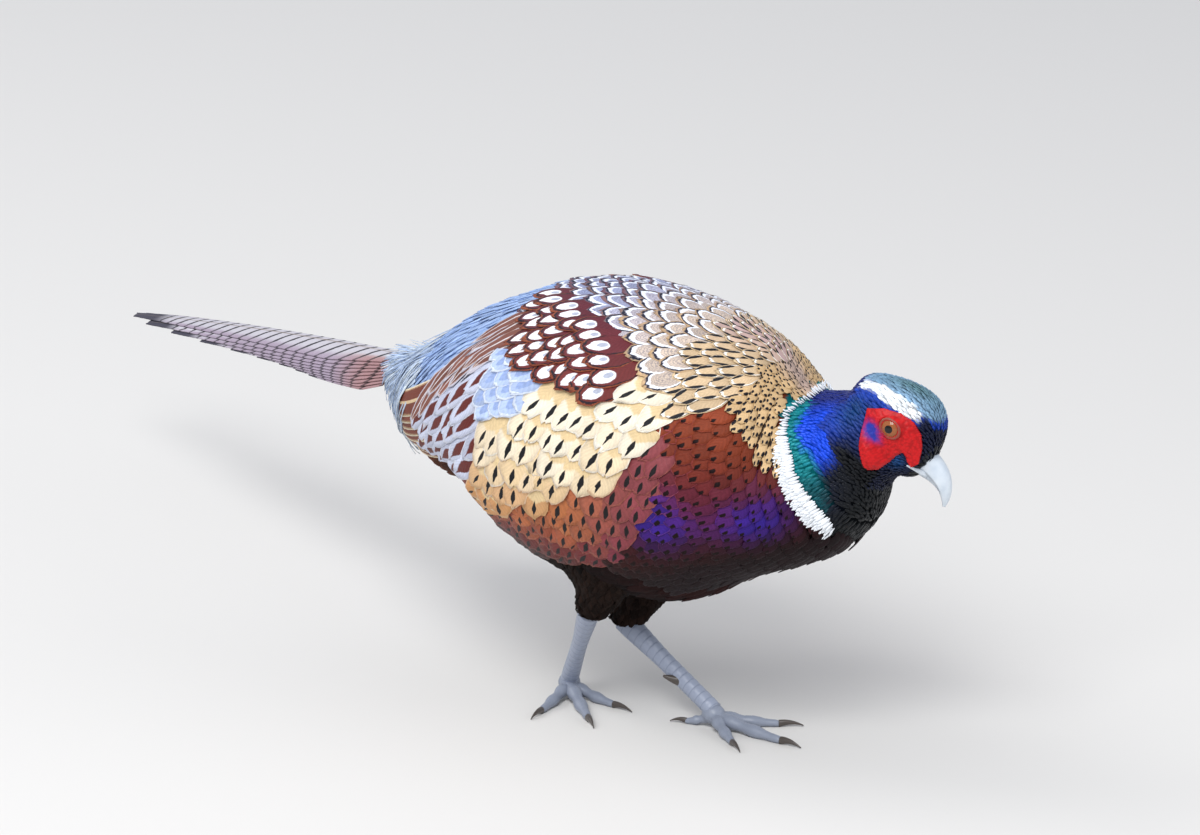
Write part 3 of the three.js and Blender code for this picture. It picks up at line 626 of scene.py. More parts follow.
RING_MIDDLE = ((0, 14, 22, 32, 36, 51, 68, 83, 96, 113, 131, 140, 180),
               (9.75, 9.66, 9.42, 8.96, 8.84, 8.63, 8.57, 8.56, 8.6, 8.68, 8.76, 8.8, 8.8))
RING_HALF = ((0, 22, 32, 36, 51, 68, 96, 113, 131, 140, 147),
             (0.03, 0.05, 0.08, 0.09, 0.16, 0.23, 0.23, 0.24, 0.21, 0.14, -0.1))


def in_outline(outline, x, a):
    """Whether places lie in an outline, by counting its edges to one side of them."""
    odd = np.zeros(len(x), bool)
    points = np.array(outline, float)
    for (ax, az), (bx, bz) in zip(points, np.roll(points, -1, axis=0)):
        if az != bz:
            odd ^= ((az > a) != (bz > a)) & (x < (bx - ax) * (a - az) / (bz - az) + ax)
    return odd


def tract_at(x, a, t):
    """Which kind of feather shows at each place."""
    tract = np.full(len(x), "breast", dtype=object)
    back = ((x < 70) & (a < 66)) | (a < np.interp(x, *MANTLE_EDGE))
    tract[back] = "silver"
    tract[back & (x > 82)] = "middle"
    tract[back & (x > np.interp(a, *SPOTS_EDGE))] = "spots"
    tract[(x < -12) & (a > 26) & (a < np.interp(x, *TERTIAL_EDGE))] = "tertial"
    tract[(x < -22) & (a < np.interp(x, *RUMP_EDGE))] = "rump"
    for name, outline in (("wing", WING_SHOWN), ("sky", SKY_PATCH), ("flank", FLANKS), ("rusty", RUSTY),
                          ("scapular", SCAPULARS)):
        tract[in_outline(outline, x, a)] = name
    tract[(a > np.interp(x, *BELLY_EDGE)) & ~in_outline(WING_SHOWN, x, a)] = "belly"
    tract[(x < -112) & (a > 100) & (tract == "belly")] = "rump"
    ring = np.interp(a, *RING_MIDDLE)
    tract[t * SPAN > ring - 0.08] = "none"
    return tract


def lie_at(x, a):
    """How steeply the feathers lie down the body's side at each place, in radians from straight back."""
    side = np.interp(a, (0, 12, 25, 40, 60, 80, 110, 130, 160, 180), (0, 14, 32, 48, 62, 76, 80, 55, 15, 0))
    chest = np.interp(a, (0, 30, 60, 90, 120, 150, 180), (0, 26, 50, 60, 50, 25, 0))
    wing = np.interp(a, (0, 15, 40, 70, 120, 180), (0, 18, 44, 43, 36, 0))
    lie = side + (chest - side) * swell(x, 78, 104)
    return np.radians(lie + (wing - lie) * swell(x, 0, -24))


TRACTS = {  # length, half width, step along, step across, lie of the rows, root lift, tip lift
    "breast": (15, 4.3, 5.8, 5.8, 65, -2.2, 0.3),
    "belly": (23, 5.2, 8.5, 7.5, 20, -2.4, 0.2),
    "rusty": (24, 5.0, 8.6, 6.6, 80, -2.0, 0.6),
    "flank": (30, 6.0, 11.5, 9.0, 80, -1.6, 1.6),
    "rump": (25, 2.9, 7.5, 4.4, 30, -2.0, 0.8),
    "tertial": (56, 4.8, 18, 7.4, 45, -1.0, 2.6),
    "wing": (38, 6.4, 16, 9.6, 42, -1.6, 1.4),
    "sky": (21, 5.4, 8.5, 7.6, 45, -1.4, 1.8),
    "silver": (25, 6.4, 8.6, 9.6, 45, -2.0, 1.2),
    "middle": (21, 4.5, 8.0, 6.6, 50, -2.0, 1.2),
    "spots": (14, 3.9, 5.6, 5.8, 45, -1.8, 0.9),
    "scapular": (25, 5.6, 8.3, 8.5, 50, -1.4, 3.0),
}
MEAN_GIRTH = 70
SHOWN = 0.68  # the middle of the part of a vane that shows, as a share of its length


def scatter(tract, **shape):
    """Lays one tract's feathers in staggered rows and gives their points, patch places, x and degrees."""
    length, half, along, across, rows_lie, low, high = TRACTS[tract]
    found = []
    for way in (1, -1):
        s, c = np.meshgrid(np.arange(-46, 47), np.arange(-50, 51), indexing="ij")
        s, c = s.ravel() * along, (c.ravel() + (s.ravel() % 2) / 2) * across
        s = s + chance.normal(0, 0.09 * along, len(s))
        c = c + chance.normal(0, 0.09 * across, len(c))
        turn = math.radians(rows_lie)
        x = 10 - s * math.cos(turn) + c * math.sin(turn)
        a = 90 + np.degrees((s * math.sin(turn) + c * math.cos(turn)) / MEAN_GIRTH)
        keep = (x > -150) & (x < 164) & (a > -1.5) & (a < 180)
        x, a = x[keep], np.abs(a[keep])
        t = x_to_t(x)
        keep = tract_at(x + chance.normal(0, 1.2, len(x)), a + chance.normal(0, 0.8, len(x)), t) == tract
        found.append(np.stack([x[keep], a[keep] * way], 1))
    x, a = np.vstack(found).T
    t, n = x_to_t(x), len(x)
    size = (girth_at(t) / MEAN_GIRTH) ** 0.7 * (1 + chance.normal(0, 0.04, n))
    size = np.maximum(size, 0.62)
    lie = lie_at(x, np.abs(a)) + chance.normal(0, 0.05, n)
    way = np.where(a < 0, -1.0, 1.0)
    root_t = t + SHOWN * length * size * np.cos(lie) / SPINE_LENGTH
    root_angle = np.radians(a) - way * SHOWN * length * size * np.sin(lie) / (girth_at(root_t) + 1)
    lifts = (low + chance.normal(0, 0.1, n), high + chance.normal(0, 0.22, n))
    rows = lay_on_trunk(root_t, root_angle, length * size, half * size, lie, lifts, **shape)
    patch = np.stack([np.clip((t + 0.1) / 1.1, 0, 1), a / 360 + 0.5], 1)
    return rows, patch, x, np.abs(a)


def vary(colour, amount=0.08):
    """Each feather a little lighter or darker than the next."""
    return np.clip(colour * (1 + chance.normal(0, amount, len(colour)))[:, None], 0, 1)


# Breast: chestnut with a small dark mark at each tip, rose edges towards the flanks, and a violet gloss
rows, patch, x, a = scatter("breast")
rose = blend(breast_colour(x, a) * 1.25, linear("a85468"), blob(x, a, (82, 78), (13, 30)) * 0.6)
copper = plumage("Glossy chestnut breast feathers", [(-1, 0.13, "Fringe")],
                 [(0.0, 0.95, 0.5, 0.16, 1.0, "160607")],
                 roughness=0.55, metallic=0.06, barbs=40, shine=0.15)
dress(vane_mesh("breast_feathers", rows, vary(breast_colour(x, a), 0.1), patch, vary(rose, 0.1)),
      copper, "body")

# Rusty lower flanks: the breast's chestnut gives way to straw with black spear marks
rows, patch, x, a = scatter("rusty")
rust = blend(linear("c27644"), linear("7e2a26"), (a - 96) / 26 + chance.normal(0, 0.12, len(x)))
rust = blend(rust, linear("742a42"), swell(x, 34, 74) * 0.85)
rust = blend(rust, linear("3a1210"), (a - 118) / 14)
edges = blend(rust * 1.12, linear("b87850"), np.full(len(x), 0.18))
spear = plumage("Rusty flank feathers with black spear marks", [(-1, 0.14, "Fringe")],
                [(0.0, 0.84, 0.22, 0.16, 1.2, "0c0508")], roughness=0.55, barbs=50)
dress(vane_mesh("rusty_flank_feathers", rows, vary(rust), patch, vary(edges)), spear, "body")

# Belly: loose black-brown feathers
rows, patch, x, a = scatter("belly")
soot = blend(all_of("120808", len(x)), linear("3a1412"), swell(x, 40, 100) * 0.6)
soot = blend(soot, linear("6a3a24"), swell(x, -60, -110))
sooty = plumage("Loose black-brown belly feathers", roughness=0.8, barbs=30, streak=0.18, shine=0.08)
dress(vane_mesh("belly_feathers", rows, vary(soot, 0.2), patch), sooty, "body")

# Flanks: long cream feathers with a black drop near each tip, which hang over the wing's front edge
rows, patch, x, a = scatter("flank", across=4, along=8)
cream = blend(linear("ede2cc"), linear("dfbf8a"), (a - 66) / 44 + chance.normal(0, 0.16, len(x)))
cream = blend(cream, linear("c98a50"), swell(a, 86, 106) * 0.85)
edges = blend(linear("f8f2e4"), linear("cf9e66"), (a - 72) / 36 + chance.normal(0, 0.16, len(x)))
# The tan band across the middle of each vane is painted shade, where it lies under the feathers of the row
# above
straw = plumage("Cream flank feathers with black drops", [(-1, 0.12, "Fringe")],
                [(0.0, 0.5, 1.3, 0.2, 1.0, "dcc294"), (0.0, 0.82, 0.19, 0.14, 1.25, "07080f")],
                barbs=80, streak=0.05)
dress(vane_mesh("flank_feathers", rows, vary(cream, 0.04), patch, vary(edges, 0.04)), straw, "body")

# Back: grey feathers with a white bow, a dark crescent and a mauve-brown edge
rows, patch, x, a = scatter("silver", across=6, along=8)
grey = blend(all_of("98a0c2", len(x)), linear("cbb9a8"), swell(x, 14, 74))
mauve = blend(linear("6e4a55"), linear("c0a17c"), swell(x, 24, 76) + chance.normal(0, 0.15, len(x)))
silver = plumage("Grey back feathers with a white bow", [
    (-1, 0.13, "Fringe"), (0.13, 0.29, "15162c"), (0.29, 0.46, "eef3ff")], barbs=80, lines=0.5, tip=4.0)
dress(vane_mesh("back_feathers", rows, vary(grey, 0.1), patch, vary(mauve)), silver, "body")

# Front of the back: golden buff with a short white bow and black bars down both edges
rows, patch, x, a = scatter("middle", across=6, along=7)
buff = vary(blend(all_of("cbb08c", len(x)), linear("bfa2a0"), swell(a, 24, 0)), 0.07)
bars = plumage("Buff feathers with black side bars",
               [(-1, 0.12, "Fringe"), (0.12, 0.2, "3a2c34"), (0.2, 0.4, "f4f0e8")],
               [(0.66, 0.76, 0.2, 0.17, 2.0, "0c0d16")], barbs=60)
dress(vane_mesh("shoulder_feathers", rows, buff, patch, vary(all_of("d6bc94", len(x)))), bars, "body")

# Mantle: golden buff, thickly spotted black by the ring
rows, patch, x, a = scatter("spots")
buff = vary(blend(all_of("cfae80", len(x)), linear("b8a094"), swell(a, 24, 0)), 0.08)
spotted = plumage("Buff mantle feathers with black notches", [],
                  [(0.0, 0.93, 0.42, 0.13, 1.4, "0c0d18"), (0.8, 0.72, 0.24, 0.12, 2.0, "0c0d18")], barbs=40)
dress(vane_mesh("mantle_feathers", rows, buff, patch), spotted, "body")

# Scapulars: maroon with a big white drop, edged black and then rust
rows, patch, x, a = scatter("scapular", across=6, along=8)
wine = blend(linear("5a1f2c"), linear("6a2420"), (a - 30) / 25)
maroon = plumage("Maroon scapulars with white drops", [(-1, 0.12, "8e4a30"), (0.12, 0.24, "0e0e1c")],
                 [(0.0, 0.74, 0.5, 0.16, 2.0, "f4f6fa"), (0.0, 0.67, 0.2, 0.07, 2.0, "a9aebf")],
                 barbs=70, tip=4.0)
dress(vane_mesh("scapular_feathers", rows, vary(wine), patch), maroon, "body")

# Rump: narrow powder-blue feathers, down to the tail's base
rows, patch, x, a = scatter("rump", across=2, outline=narrow_vane, on_wing=0.4)
blue = blend(linear("a3bce6"), linear("8faad6"), chance.random(len(x)))
blue = blend(blue, linear("aab6b0"), swell(x, -112, -146) * 0.8)
powder = plumage("Powder-blue rump feathers", [], [(0.0, 0.35, 0.5, 0.2, 2.0, "4a5a86")],
                 barbs=24, streak=0.16)
dress(vane_mesh("rump_feathers", rows, vary(blue, 0.1), patch), powder, "body")

# Wings
# Folded under the scapulars: long flight feathers at the rear, then maroon coverts with pale edges,
# a blue-grey patch in front of them, and narrow streaked tertials above.

rows, patch, x, a = scatter("tertial", across=4, along=8, outline=long_vane, on_wing=0.7)
brown = blend(linear("7c4a3e"), linear("63392e"), chance.random(len(x)))
streaked = plumage("Streaked tertials", [(-1, 0.3, "c9c6d2"), (0.3, 0.42, "a88a7c")],
                   [(0.0, 0.6, 0.1, 0.5, 2.0, "d0c8c8")], barbs=90, tip=9.0)
dress(vane_mesh("tertial_feathers", rows, vary(brown, 0.15), patch), streaked, "wing")

rows, patch, x, a = scatter("wing", across=4, along=8)
lilac = blend(linear("cfd5e8"), linear("b9bdd0"), chance.random(len(x)))
lens = plumage("Wing coverts with maroon middles", [(-1, 0.1, "d9dce8")],
               [(0.0, 0.68, 0.47, 0.25, 1.15, "5e1d17")], barbs=80)
dress(vane_mesh("wing_covert_feathers", rows, vary(lilac, 0.06), patch), lens, "wing")

rows, patch, x, a = scatter("sky")
pale = plumage("Blue-grey wing patch", [(-1, 0.22, "dbe4f3")],
               [(0.0, 0.62, 0.42, 0.24, 1.6, "8fa3cf")], barbs=50)
dress(vane_mesh("wing_patch_feathers", rows, vary(all_of("aabbdd", len(x)), 0.1), patch), pale, "wing")

FLIGHT = {  # count, first and last root and tip as (x, degrees, lift), half width, ground, rings, marks
    "primaries": (6, ((-20, 100, -2.2), (-10, 108, -2.2)), ((-118, 108, -1.0), (-84, 121, -1.2)), 6.5,
                  "2a2022", [(-1, 0.1, "6a5a58")], []),
    "secondaries": (9, ((-34, 62, -1.6), (-24, 102, -1.8)), ((-124, 92, 1.6), (-108, 118, 1.2)), 7.5,
                    "6f3322", [(-1, 0.2, "e0d3b8"), (0.2, 0.34, "a9825e")],
                    [(0.0, 0.7, 0.12, 0.4, 2.0, "cbb08a")]),
}
for tier, (count, (r0, r1), (t0, t1), half, ground, rings, marks) in FLIGHT.items():
    finish = plumage("Wing " + tier, rings, marks, barbs=160, tip=9.0)
    share = np.linspace(0, 1, count)[:, None]
    root = np.array(r0) * (1 - share) + np.array(r1) * share
    tip = np.array(t0) * (1 - share) + np.array(t1) * share
    for side, way in (("left", 1), ("right", -1)):
        v = rows_v(16)[None, :, None]
        u = np.linspace(-1, 1, 7)[None, None, :]
        run = root[:, :, None, None] + (tip - root)[:, :, None, None] * v[:, None]
        x_at, degrees, lift = run.transpose(1, 0, 2, 3)
        t_at = x_to_t(x_at)
        angle_at = way * (np.radians(degrees) + u * half * long_vane(v) / np.maximum(30, girth_at(t_at)))
        lift = lift + 0.5 * u - 0.2 * u**2 + wing_bulge(t_at, angle_at)
        t_at, angle_at, lift = np.broadcast_arrays(t_at, angle_at, lift)
        faces = [trunk(t_at.ravel(), angle_at.ravel(), lift.ravel() + f * 0.2) for f in (1, -1)]
        rows = np.stack([f.reshape(t_at.shape + (3,)) for f in faces], 1)
        if way < 0:
            rows = rows[:, :, :, ::-1]
        patch = np.stack([share[:, 0] * 0.9, np.full(count, 0.3 if tier == "primaries" else 0.4)], 1)
        dress(vane_mesh("wing_" + side + "_" + tier, rows, vary(all_of(ground, count), 0.08), patch),
              finish, "wing", *(["wing_" + side] if tier == "secondaries" else []))

# Tail
# Nine pairs of stiff graduated feathers under one another like a roof, barred black on lilac-grey,
# with mauve edges, rusty at the base and dark at the tips.

TAIL_LENGTH = 348.0
TAIL_TURN = math.radians(17)
TAIL_DROOP = math.radians(9)
TAIL_RISE = 3.0
TAIL_SAG = 9.0
PAIR_LENGTHS = (1, 0.93, 0.82, 0.7, 0.58, 0.48, 0.4, 0.34, 0.29)
TAIL_STEP = 1.0  # how much lower each pair lies than the one over it
TAIL_ROOT = 18.0  # where the vanes start, behind the tail's origin
TAIL_HALF_WIDTH = 12.5
PAIR_NARROWING = 0.5
PAIR_SPREAD = 0.95
TAIL_ROOF = math.tan(math.radians(34))
RIDGE_ROUNDING = 5.0
tail_axes = np.array(Matrix.Rotation(math.pi - TAIL_TURN, 3, "Z") @ Matrix.Rotation(TAIL_DROOP, 3, "Y"))
tail_at = TRUNK[0, :3] + (0, 0, TAIL_RISE)
sets = []
tail_facts = []
for pair, ratio in enumerate(PAIR_LENGTHS):
    for way in (1, -1):
        length, half = TAIL_LENGTH * ratio, TAIL_HALF_WIDTH - PAIR_NARROWING * pair
        fan = way * math.radians(0.3 + 0.5 * pair)
        layer = 5 - TAIL_STEP * (pair + (0 if way > 0 else 0.5))
        v = rows_v(44)[:, None] + np.zeros((1, 11))
        u = np.linspace(-1, 1, 11)[None, :] + 0 * v
        taper = (0.5 + 0.5 * np.clip(v / 0.2, 0, 1)) * (1 - 0.9 * v**1.5) + 0.03
        along = (length - TAIL_ROOT) * v * (1 + 0.0035 * chance.normal(0, 1, v.shape) * (np.abs(u) > 0.7))
        across = u * half * taper
        x = along * math.cos(fan) - across * math.sin(fan) + TAIL_ROOT
        y = along * math.sin(fan) + across * math.cos(fan) + way * (2 + PAIR_SPREAD * pair)
        roof = TAIL_ROOF * (np.hypot(y, RIDGE_ROUNDING) - RIDGE_ROUNDING)
        z = layer - roof - TAIL_SAG * (x / TAIL_LENGTH) ** 2
        local = np.stack([x, y, z], -1)
        sets.append(np.stack([(local + (0, 0, f * 0.22)) @ tail_axes.T + tail_at for f in (-1, 1)], 0))
        fact = np.stack([np.full(v.size, length), np.zeros(v.size), np.abs(y).ravel()], 1) / 1000
        tail_facts.append(np.vstack([fact, fact]))
rows = np.stack(sets, 0)
patch = np.stack([np.arange(len(rows)) / 20, np.full(len(rows), 0.5)], 1)
tail = vane_mesh("tail_feathers", rows, vary(all_of("d2ced6", len(rows)), 0.04), patch)
facts = np.vstack(tail_facts).astype(np.float32)
tail.data.attributes["Feather"].data.foreach_set("vector", facts.ravel())
# Stiff satin barbs. Their lines stand 1.3 mm apart, coarser than life, so that they show.
barred, tree, shader = material("Barred tail feathers", 0.55, specular_ior_level=0.3)
calc, ramp, mix = shader_tools(tree)
place, own = on_vane(tree)
BAR_STEP = 0.0138  # metres from one bar to the next
BAR_SLIDE = 1.5  # how far a bar leans back for each step out from the middle
u = calc("ABSOLUTE", calc("SUBTRACT", place[0], 0.5))
v = place[1]
reach = calc("MULTIPLY", v, own[0])
slide = calc("MULTIPLY", own[2], BAR_SLIDE)
grain = node(tree, "ShaderNodeTexNoise", {"Vector": object_place(tree), "Scale": 300.0})
bars = calc("FRACT", calc("DIVIDE", calc("SUBTRACT", reach, slide), BAR_STEP))
bars = calc("ADD", bars, calc("MULTIPLY", calc("SUBTRACT", grain, 0.5), 0.14))
bar = calc("MULTIPLY", ramp(bars, 0.38, 0.43), ramp(bars, 0.66, 0.61))
colour = painted(tree)
colour = mix(calc("MULTIPLY", ramp(calc("ADD", u, calc("MULTIPLY", grain, 0.1)), 0.3, 0.5),
                  ramp(v, 0.97, 0.75)), colour, "a697a8")
base = calc("MULTIPLY", calc("MULTIPLY", ramp(reach, 0.07, 0.02), ramp(u, 0.2, 0.36)), 0.6)
colour = mix(base, colour, "a87060")
colour = mix(calc("MULTIPLY", bar, calc("MULTIPLY_ADD", ramp(u, 0.46, 0.3), 0.25, 0.72)), colour, "121018")
colour = mix(ramp(v, 0.84, 0.92), colour, "3c3a48")
colour = mix(calc("MULTIPLY", ramp(u, 0.03, 0.015), 0.6), colour, "8a7a6c")
ridges = calc("SINE", calc("ADD", calc("MULTIPLY", reach, 5000.0), calc("MULTIPLY", u, -40.0)))
surface(tree, shader, colour, ridges, 0.3, 0.0002)
dress(tail, barred, "tail", "tail")

# Rump hair: long loose barbs that hang from the rump over the tail's base and the wing tips
HAIRS = 1000
angle = np.radians(chance.uniform(4, 84, HAIRS)) * chance.choice((-1, 1), HAIRS)
t = x_to_t(chance.uniform(-138, -92, HAIRS))
length = chance.uniform(22, 46, HAIRS)
lie = np.radians(np.interp(np.degrees(np.abs(angle)), (0, 40, 84), (5, 38, 56)) + chance.normal(0, 9, HAIRS))
lifts = (np.full(HAIRS, -1.0), chance.uniform(1.0, 6.5, HAIRS))
rows = lay_on_trunk(t, angle, length, chance.uniform(0.45, 1.0, HAIRS), lie, lifts, across=2, along=6,
                    outline=narrow_vane, thick=0.22, on_wing=0.8)
tone = blend(linear("a9c0e4"), linear("d3dce2"), chance.random(HAIRS))
tone = blend(tone, linear("b4b49c"), chance.random(HAIRS) * swell(np.degrees(np.abs(angle)), 60, 100))
patch = np.stack([(t + 0.1) / 1.1, angle / (2 * math.pi) + 0.5], 1)
dress(vane_mesh("rump_hair", rows, vary(tone, 0.12), patch),
      plumage("Loose rump barbs", barbs=10, streak=0.1), "body")

# Neck and head feathers
# Small close feathers over the skin, iridescent on the neck, with the white ring round its base.

skin_mesh = skin.data
skin_mesh.calc_loop_triangles()
corner = read_all(skin_mesh.loop_triangles, "vertices", np.int32)
skin_area = np.linalg.norm(np.cross(skin_points[corner[:, 1]] - skin_points[corner[:, 0]],
                                    skin_points[corner[:, 2]] - skin_points[corner[:, 0]]), axis=1) / 2


def toward_nape(p):
    """The lie of the head and neck feathers: back from the bill and down the neck."""
    t, _, _ = place_on_trunk(p)
    forward, _, _ = spine_frame(t)
    share = np.clip((to_head(p)[:, 0] + 34) / 16, 0, 1)[:, None] * (t > 0.84)[:, None]
    return -forward * (1 - share) - head_axes[:, 0] * share


CELL = 3.2  # a little over the widest spacing
SMALL_VANE_THICKNESS = 0.16


def grow_on_skin(chosen_by, density, length, half, along=3, across=2, lifts=(0.1, 1.1), lie=toward_nape):
    """Small vanes on the skin, at least a spacing apart, each lying on the skin along its whole length."""
    near = chosen_by(skin_points[corner].mean(axis=1))[0] > 0
    pool = np.flatnonzero(near)
    weight = skin_area[pool]
    pick = pool[chance.choice(len(pool), int(weight.sum() * density), p=weight / weight.sum())]
    w = chance.dirichlet((1, 1, 1), len(pick))[:, :, None]
    p = (skin_points[corner[pick]] * w).sum(axis=1)
    normal = (skin_normals[corner[pick]] * w).sum(axis=1)
    keep, spacing = chosen_by(p)
    cell, chosen = {}, []  # the roots taken so far, by the cell of space they are in
    for i in np.flatnonzero(keep > 0):
        gap = spacing[i]
        key = (p[i] // CELL).astype(int)
        close = [q for dx in (-1, 0, 1) for dy in (-1, 0, 1) for dz in (-1, 0, 1)
                 for q in cell.get((key[0] + dx, key[1] + dy, key[2] + dz), ())]
        if not close or ((p[close] - p[i]) ** 2).sum(axis=1).min() > gap * gap:
            chosen.append(i)
            cell.setdefault(tuple(key), []).append(i)
    root, normal = p[chosen], normal[chosen]
    length, half = length * keep[chosen], half * keep[chosen]
    flow = lie(root) + chance.normal(0, 0.07, root.shape)
    flow -= (flow * normal).sum(1)[:, None] * normal
    flow /= np.linalg.norm(flow, axis=1)[:, None]
    cross = np.cross(flow, normal)
    v = rows_v(along)[None, :, None, None]
    u = np.linspace(-1, 1, across + 1)[None, None, :, None]
    long, wide = length[:, None, None, None], half[:, None, None, None]
    flat = (root[:, None, None] + flow[:, None, None] * v * long
            + cross[:, None, None] * u * wide * round_vane(v))
    lift = lifts[0] + (lifts[1] - lifts[0]) * v**0.8 - 0.1 * u**2
    lift = lift + chance.normal(0, 0.07, (len(root), 1, 1, 1))
    lift = np.broadcast_to(lift, flat.shape[:3] + (1,)).reshape(-1, 1)
    on = np.empty((lift.size, 6))
    for k, place in enumerate((flat.reshape(-1, 3) + to_model) / 1000):
        found, n, _, _ = skin_tree.find_nearest(Vector(place))
        on[k] = (*found, *n)
    place, n = on[:, :3] * 1000 - to_model, on[:, 3:]
    faces = (place + n * (lift + f * SMALL_VANE_THICKNESS / 2) for f in (1, -1))
    rows = np.stack([face.reshape(flat.shape) for face in faces], 1)
    t, _, angle = place_on_trunk(root)
    patch = np.stack([np.clip((t + 0.1) / 1.1, 0, 1), angle / 360 + 0.5], 1)
    return rows, root, patch


FACE_OUTLINE = ((-15.6, 0), (-9.8, 6), (-2.3, 9.6), (5, 10.2), (11.8, 8), (16.2, 3.2), (19.5, -4),
                (18, -8), (14.5, -5.6), (10.8, -4.5), (9.3, -8.5), (8.5, -14.7), (7.4, -18.8),
                (4.2, -21.2), (1.4, -20.6), (-6.4, -14.4), (-11.4, -7.8))


def in_face(x, z, grow=0.0):
    """Whether places in the head's side view lie in the bare red skin, grown by so many millimetres."""
    outline = np.array(FACE_OUTLINE)
    middle = outline.mean(axis=0)
    return in_outline(middle + (outline - middle) * (1 + grow / 12), x, z)


def neck_parts(p):
    """Degrees from the top, the head's x, on head or not, bare or not, and stations past the ring."""
    t, _, angle = place_on_trunk(p)
    x, y, z = to_head(p).T
    bare = in_face(x, z, -1.0) & (np.abs(y) > 5) & (t > 0.8)
    head = (x > -25) & (t > 0.9) & ~bare & (x < 21)
    a = np.abs(angle)
    return a, x, head, bare, t * SPAN - np.interp(a, *RING_MIDDLE)


def neck_rule(p):
    """Where neck feathers grow, as a share of their full size, and how far apart. The next two are alike."""
    a, _, head, bare, after = neck_parts(p)
    start = np.where(np.interp(a, *RING_HALF) > 0.1, 0.12, -0.1)
    return ((after > start) & ~head & ~bare) * 1.0, np.full(len(p), 1.5)


def head_rule(p):
    _, x, head, _, _ = neck_parts(p)
    share = np.clip((x + 30) / 40, 0, 1)
    return head * (1.15 - 0.5 * share), 1.75 - 0.55 * share


def ring_rule(p):
    a, _, _, _, after = neck_parts(p)
    half = np.interp(a, *RING_HALF)
    on_ring = (after > np.minimum(0.2 - half, half - 0.14)) & (after < half) & (half > 0.02)
    return on_ring * np.clip(half / 0.2, 0.5, 1.0), np.full(len(p), 1.05)


# Iridescent barbs reflect like a thin metal film, so neck and head feathers are smooth and part metallic
velvet = plumage("Iridescent neck feathers", roughness=0.4, metallic=0.25, barbs=10, streak=0.08)
rows, root, patch = grow_on_skin(neck_rule, 3.4, 5.2, 0.9, lifts=(0.1, 0.6))
t, _, angle = place_on_trunk(root)
dress(vane_mesh("neck_feathers", rows, vary(neck_colour(t, np.abs(angle)), 0.06), patch), velvet, "neck")
rows, root, patch = grow_on_skin(head_rule, 3.0, 5.4, 0.95, lifts=(0.05, 0.75))
cap = vane_mesh("head_feathers", rows, vary(head_colour(to_head(root)), 0.09), patch)
satin = plumage("Short satin head feathers", roughness=0.5, metallic=0.15, barbs=8, streak=0.1)
dress(cap, satin, "neck")
rows, root, patch = grow_on_skin(ring_rule, 5.0, 5.8, 0.9, lifts=(1.2, 3.1))
dress(vane_mesh("ring_feathers", rows, vary(all_of("f2f6fb", len(rows)), 0.03), patch),
      plumage("White ring feathers", barbs=12, streak=0.06), "neck")


def thigh_rule(p):
    """The thighs and the belly just over them."""
    t, x, angle = place_on_trunk(p)
    low = (p[:, 2] < 98) & (np.abs(angle) > 110)
    return (low & (x < 66) & (x > -60) & (t < 0.62)) * 1.0, np.full(len(p), 2.9)


def toward_heel(p):
    """The lie of the thigh feathers: down to the nearer heel."""
    heels = np.array(list(HEELS.values())) - (0, 0, 14)
    nearest = np.hypot(*(p[:, None, :2] - heels[None, :, :2]).transpose(2, 0, 1)).argmin(1)
    way = heels[nearest] - p
    return way / np.linalg.norm(way, axis=1)[:, None]


# Thigh feathers: short and black-brown, down over the heel
rows, root, patch = grow_on_skin(thigh_rule, 0.9, 13.0, 2.2, lifts=(0.1, 2.0), lie=toward_heel)
dress(vane_mesh("thigh_feathers", rows, vary(all_of("1c120e", len(rows)), 0.3), patch), sooty, "thigh")

# Bare face
# Red velvety skin round the eye, thick with small round wattles, with a blue spot behind the eye.


def skin_at(x, z, way):
    """How far out the skin is on one side at x and z in the head's own frame."""
    inward = Vector(-way * head_axes[:, 1])
    start = from_head(np.stack([x, np.full(len(x), way * 40.0), z], 1))
    hits = [skin_tree.ray_cast(Vector(p), inward)[3] for p in (start + to_model) / 1000]
    return np.array([40.0 - h * 1000 if h else 3.0 for h in hits])


FACE_GRID = 110
FACE_LOW, FACE_HIGH = (-17, -26), (21, 12)
WATTLES = 800
EYE_GAP = 4.1
FACE_LIFT = 0.7  # how far the thin skin stands off the head
FACE_SWELL = 1.3
WATTLE_HEIGHT = 0.42
SOCKET_RADIUS = 6.7
